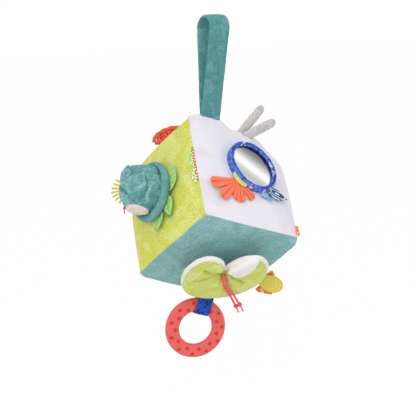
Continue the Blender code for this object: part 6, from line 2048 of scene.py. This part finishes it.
STRIP_THICK = 0.0010
STEM_HALF = 0.0050
strip_shares = ((-0.42, -0.52), (-0.48, -0.36), (-0.30, -0.12), (0.25, 0.42), (0.40, 0.46), (0.80, -0.02),
                (0.80, -0.22), (0.62, -0.24))
strip_outline = [(OVAL_ALONG - STEM_HALF, -ROOT_INSIDE), (OVAL_ALONG - STEM_HALF, OVAL_OUT - OVAL_WIDTH / 2)]
strip_outline += [(OVAL_ALONG + OVAL_LENGTH * x, OVAL_OUT + OVAL_WIDTH * y) for x, y in strip_shares]
strip_outline += [(OVAL_ALONG + STEM_HALF, OVAL_OUT - OVAL_WIDTH / 4), (OVAL_ALONG + STEM_HALF, -ROOT_INSIDE)]
top, bottom = pillow(STRIP_THICK, 0.0005)
oval_strip = tag_piece("oval_strip", strip_outline, 0.0009, top, bottom, seam_places["oval"])
orange_strip, tree, shader = new_finish("orange_strip", Roughness=0.85, Sheen_Weight=0.15)
strip_spot = add_node(tree, "UVMap", uv_map="cut").outputs[0]
strip_cells = add_node(tree, "TexVoronoi", {"Vector": strip_spot, "Scale": 1.7, "Randomness": 0.5})
strip_white = ramp_node(tree, strip_cells.outputs["Distance"], 0.40, 0.35)
strip_navy = ramp_node(tree, strip_cells.outputs["Distance"], 0.20, 0.15)
strip_pale = mix_colours(tree, strip_white.outputs[0], (*srgb(238, 118, 24), 1), (*srgb(244, 240, 232), 1))
strip_mix = mix_colours(tree, strip_navy.outputs[0], strip_pale.outputs["Result"], (*srgb(36, 84, 150), 1))
tree.links.new(strip_mix.outputs["Result"], shader.inputs["Base Color"])
finish_piece(oval_strip, orange_strip, "oval", "orange_felt", "oval_tag_strip")
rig.sheet(oval_strip, held="hung", **cut_size(strip_outline))


# Prongs: two soft grey velour fingers with rounded tips, side by side in the strap's seam
PRONG_WIDTH = 0.0125
PRONG_THICK = 0.0064
PRONG_ROWS = 72
PRONG_SIDES = 40
grey_velour = velour_finish("grey_velour", srgb(198, 194, 192), srgb(216, 213, 210), srgb(160, 156, 154),
                            patch=60.0, grain_scale=700.0, bump=0.4)
PRONGS = {"prong_left": (0.0125, 0.0340, 0.0480, -1), "prong_right": (0.0180, 0.0545, 0.0470, 1)}
for node, (root_along, tip_along, length, layer) in PRONGS.items():
    slant = tip_along - root_along
    rise = sqrt(length ** 2 - slant ** 2)
    run = Vector((slant, rise, 0)).normalized()
    aside = Vector((run.y, -run.x, 0))
    start = Vector((root_along, 0, layer * (PRONG_THICK + 0.0003) / 2)) - run * ROOT_INSIDE
    whole = length + ROOT_INSIDE

    def prong_point(share, turn):
        """Point of the finger, flat at its root and round at its tip, with two soft bends across it."""
        along = whole * share
        left = max(whole - along, 0)
        tip = sqrt(max(0, 1 - (1 - min(left / (PRONG_WIDTH * 0.55), 1)) ** 2))
        bend = 1 - 0.10 * exp(-((share - 0.45) / 0.06) ** 2) - 0.07 * exp(-((share - 0.68) / 0.05) ** 2)
        narrow = (0.90 + 0.10 * sin(pi * share)) * tip
        flat = 0.62 + 0.38 * ease(share / 0.35)
        x = PRONG_WIDTH / 2 * narrow * abs(cos(turn)) ** 0.85 * (1 if cos(turn) >= 0 else -1)
        z = PRONG_THICK / 2 * narrow * flat * bend * abs(sin(turn)) ** 0.85 * (1 if sin(turn) >= 0 else -1)
        return start + run * along + aside * x + Vector((0, 0, z))

    prong = round_piece(node + "_velour", PRONG_ROWS, PRONG_SIDES, prong_point, seam_places["strap"],
                        lambda point, normal: point + normal * 0.0003 * grain(point, 0.004))
    finish_piece(prong, grey_velour, "block", "grey_velour", node)
    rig.padded(prong, fill=0.6)


# Flower on the top face: a stuffed heart of red cotton with a print of small dots, in a ruffle of orange felt
FLOWER_SPOT = Vector((-0.0460, -0.0040, 0))
FLOWER_LEAN = radians(15)
FLOWER_RADIUS = 0.0170
FLOWER_HEIGHT = 0.0290
RUFFLE_LEVEL = 0.02378
RUFFLE_RADIUS = 0.0215
RUFFLE_THICK = 0.0022
PETALS = 12
PETAL_DEPTH = 0.0018
flower_place = face_places["top"] @ Matrix.Translation(FLOWER_SPOT) @ Matrix.Rotation(-FLOWER_LEAN, 4, "Y")
heart_shares = (
    (0.001, 1), (0.5, 0.985), (0.85, 0.92), (0.985, 0.82), (0.92, 0.62), (0.65, 0.40), (0.50, 0.15), (0.46, 0))
heart_route = [Vector((FLOWER_RADIUS * x, 0, FLOWER_HEIGHT * z)) for x, z in heart_shares]
heart_line = smooth_line(heart_route, 0.0006)


def heart_point(share, turn):
    """Point of the flower's heart, from its crown down to the skin of the block."""
    spot = heart_line[round(share * (len(heart_line) - 1))]
    gather = 1 + 0.05 * sin(9 * turn) * ease((0.9 - spot.z / FLOWER_HEIGHT) / 0.3)
    return Vector((spot.x * gather * cos(turn), spot.x * gather * sin(turn), spot.z))


heart = round_piece("flower_cushion", len(heart_line) - 1, 96, heart_point, flower_place,
                    lambda point, normal: point + normal * 0.0004 * grain(point, 0.007))
dot_print, tree, shader = new_finish("dot_print", Roughness=0.85, Sheen_Weight=0.2)
heart_spot = add_node(tree, "TexCoord").outputs["Object"]
for name, scale, low, high, under, over in (
    ("dark", 170.0, 0.30, 0.36, srgb(206, 40, 44), srgb(222, 66, 56)),
    ("light", 260.0, 0.20, 0.24, srgb(250, 150, 110), None),
):
    cells = add_node(tree, "TexVoronoi", {"Vector": heart_spot, "Scale": scale, "Randomness": 0.7})
    mask = ramp_node(tree, cells.outputs["Distance"], low, high)
    mix = add_node(tree, "Mix", {"Factor": mask.outputs[0], "A": (*under, 1)}, data_type="RGBA")
    if over:
        mix.inputs["B"].default_value = (*over, 1)
    else:
        tree.links.new(previous.outputs["Result"], mix.inputs["B"])
    previous = mix
tree.links.new(previous.outputs["Result"], shader.inputs["Base Color"])
heart_fine = add_node(tree, "TexNoise", {"Vector": heart_spot, "Scale": 1500.0, "Detail": 2.0})
add_relief(tree, shader, 0.35, 0.0003, heart_fine.outputs["Fac"])
finish_piece(heart, dot_print, "block", "red_cotton", "flower_heart")
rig.padded(heart, fill=0.8)

RUFFLE_STEPS = 288
RUFFLE_SIDES = 22
ruffle_points = []
ruffle_flat = []
ruffle_bore = FLOWER_RADIUS + 0.0003
for step in range(RUFFLE_STEPS):
    turn = 2 * pi * step / RUFFLE_STEPS
    petal = abs(sin(turn * PETALS / 2)) - 0.5
    for side in range(RUFFLE_SIDES):
        around = 2 * pi * side / RUFFLE_SIDES
        out = (1 + cos(around)) / 2
        radius = ruffle_bore + (RUFFLE_RADIUS - ruffle_bore) * out + PETAL_DEPTH * out * petal
        thick = RUFFLE_THICK * (0.5 - 0.18 * out) * abs(sin(around)) ** 0.6 * (1 if sin(around) >= 0 else -1)
        level = RUFFLE_LEVEL + 0.7 * RUFFLE_THICK * out + thick + 0.0007 * out * sin(turn * PETALS + 1)
        ruffle_points.append(Vector((radius * cos(turn), radius * sin(turn), level)))
        ruffle_flat.append((radius * 100 * cos(turn), radius * 100 * sin(turn)))
ruffle_faces = []
for step in range(RUFFLE_STEPS):
    after = (step + 1) % RUFFLE_STEPS
    for side in range(RUFFLE_SIDES):
        beside = (side + 1) % RUFFLE_SIDES
        ruffle_faces.append((step * RUFFLE_SIDES + side, after * RUFFLE_SIDES + side,
                             after * RUFFLE_SIDES + beside, step * RUFFLE_SIDES + beside))
ruffle = outward(add_piece("scalloped_ruffle", ruffle_points, ruffle_faces, flower_place, ruffle_flat))
orange_ruffle = fibre_finish("orange_ruffle", srgb(240, 120, 74), srgb(226, 98, 56), scale=900.0, mottle=0.7)
finish_piece(ruffle, orange_ruffle, "block", "orange_felt", "flower_ruffle")
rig.padded(ruffle, fill=0.4)


# Floor, backdrop and studio light: a pale floor under the hanging block and a large soft light from the
# upper left, with a pale sky that lifts the shadows.
FLOOR_LEVEL = -0.62
FLOOR_SIZE = 14.0
bpy.ops.mesh.primitive_plane_add(size=FLOOR_SIZE, location=(0, 0, FLOOR_LEVEL))
floor = bpy.context.object
floor.name = "floor"
floor_white, tree, shader = new_finish("floor_white", Roughness=0.95, Specular_IOR_Level=0.0)
shader.inputs["Base Color"].default_value = (0.86, 0.86, 0.86, 1)
floor_rays = add_node(tree, "LightPath")
seen = math_node(
    tree, "MAXIMUM", floor_rays.outputs["Is Camera Ray"], floor_rays.outputs["Is Glossy Ray"]).outputs[0]
paper = add_node(tree, "Emission", {"Color": (1, 1, 1, 1), "Strength": 1.0})
share = math_node(tree, "MULTIPLY", seen, 0.96)
both = add_node(tree, "MixShader", {0: share.outputs[0], 1: shader.outputs[0], 2: paper.outputs[0]})
tree.links.new(both.outputs[0], tree.nodes["Material Output"].inputs["Surface"])
floor.data.materials.append(floor_white)
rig.stage(floor)

world = bpy.data.worlds.new("studio")
scene.world = world
world.use_nodes = True
sky = world.node_tree
sky_ground = sky.nodes["Background"]
sky_ground.inputs["Color"].default_value = (1, 1, 1, 1)
sky_ground.inputs["Strength"].default_value = 0.80
sky_rays = add_node(sky, "LightPath")
sky_seen = math_node(
    sky, "MAXIMUM", sky_rays.outputs["Is Camera Ray"], sky_rays.outputs["Is Glossy Ray"]).outputs[0]
sky_white = add_node(sky, "Background", {"Color": (1, 1, 1, 1), "Strength": 1.0})
sky_mix = add_node(sky, "MixShader", {0: sky_seen, 1: sky_ground.outputs[0], 2: sky_white.outputs[0]})
sky.links.new(sky_mix.outputs[0], sky.nodes["World Output"].inputs["Surface"])

LAMPS = (
    ("key_light", (-0.95, -1.05, 0.75), 1.1, 11.0),
    ("fill_light", (1.30, -0.90, 0.05), 1.4, 2.5),
    ("low_light", (-0.25, -1.05, -1.20), 1.4, 8.5),
)
for name, spot, size, power in LAMPS:
    spot = Vector(spot)
    aim = (VIEW_CENTRE - spot).to_track_quat("-Z", "Y").to_euler()
    bpy.ops.object.light_add(type="AREA", location=spot, rotation=aim)
    lamp = bpy.context.object
    lamp.name = name
    lamp.data.size = size
    lamp.data.energy = power

scene.view_settings.view_transform = "Standard"

box_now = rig.bounds()
with open("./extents.json", "w") as record_file:
    json.dump({
        "cad": [list(cad_low), list(cad_high)],
        "visual": [list(box_now[0]), list(box_now[1])],
    }, record_file)
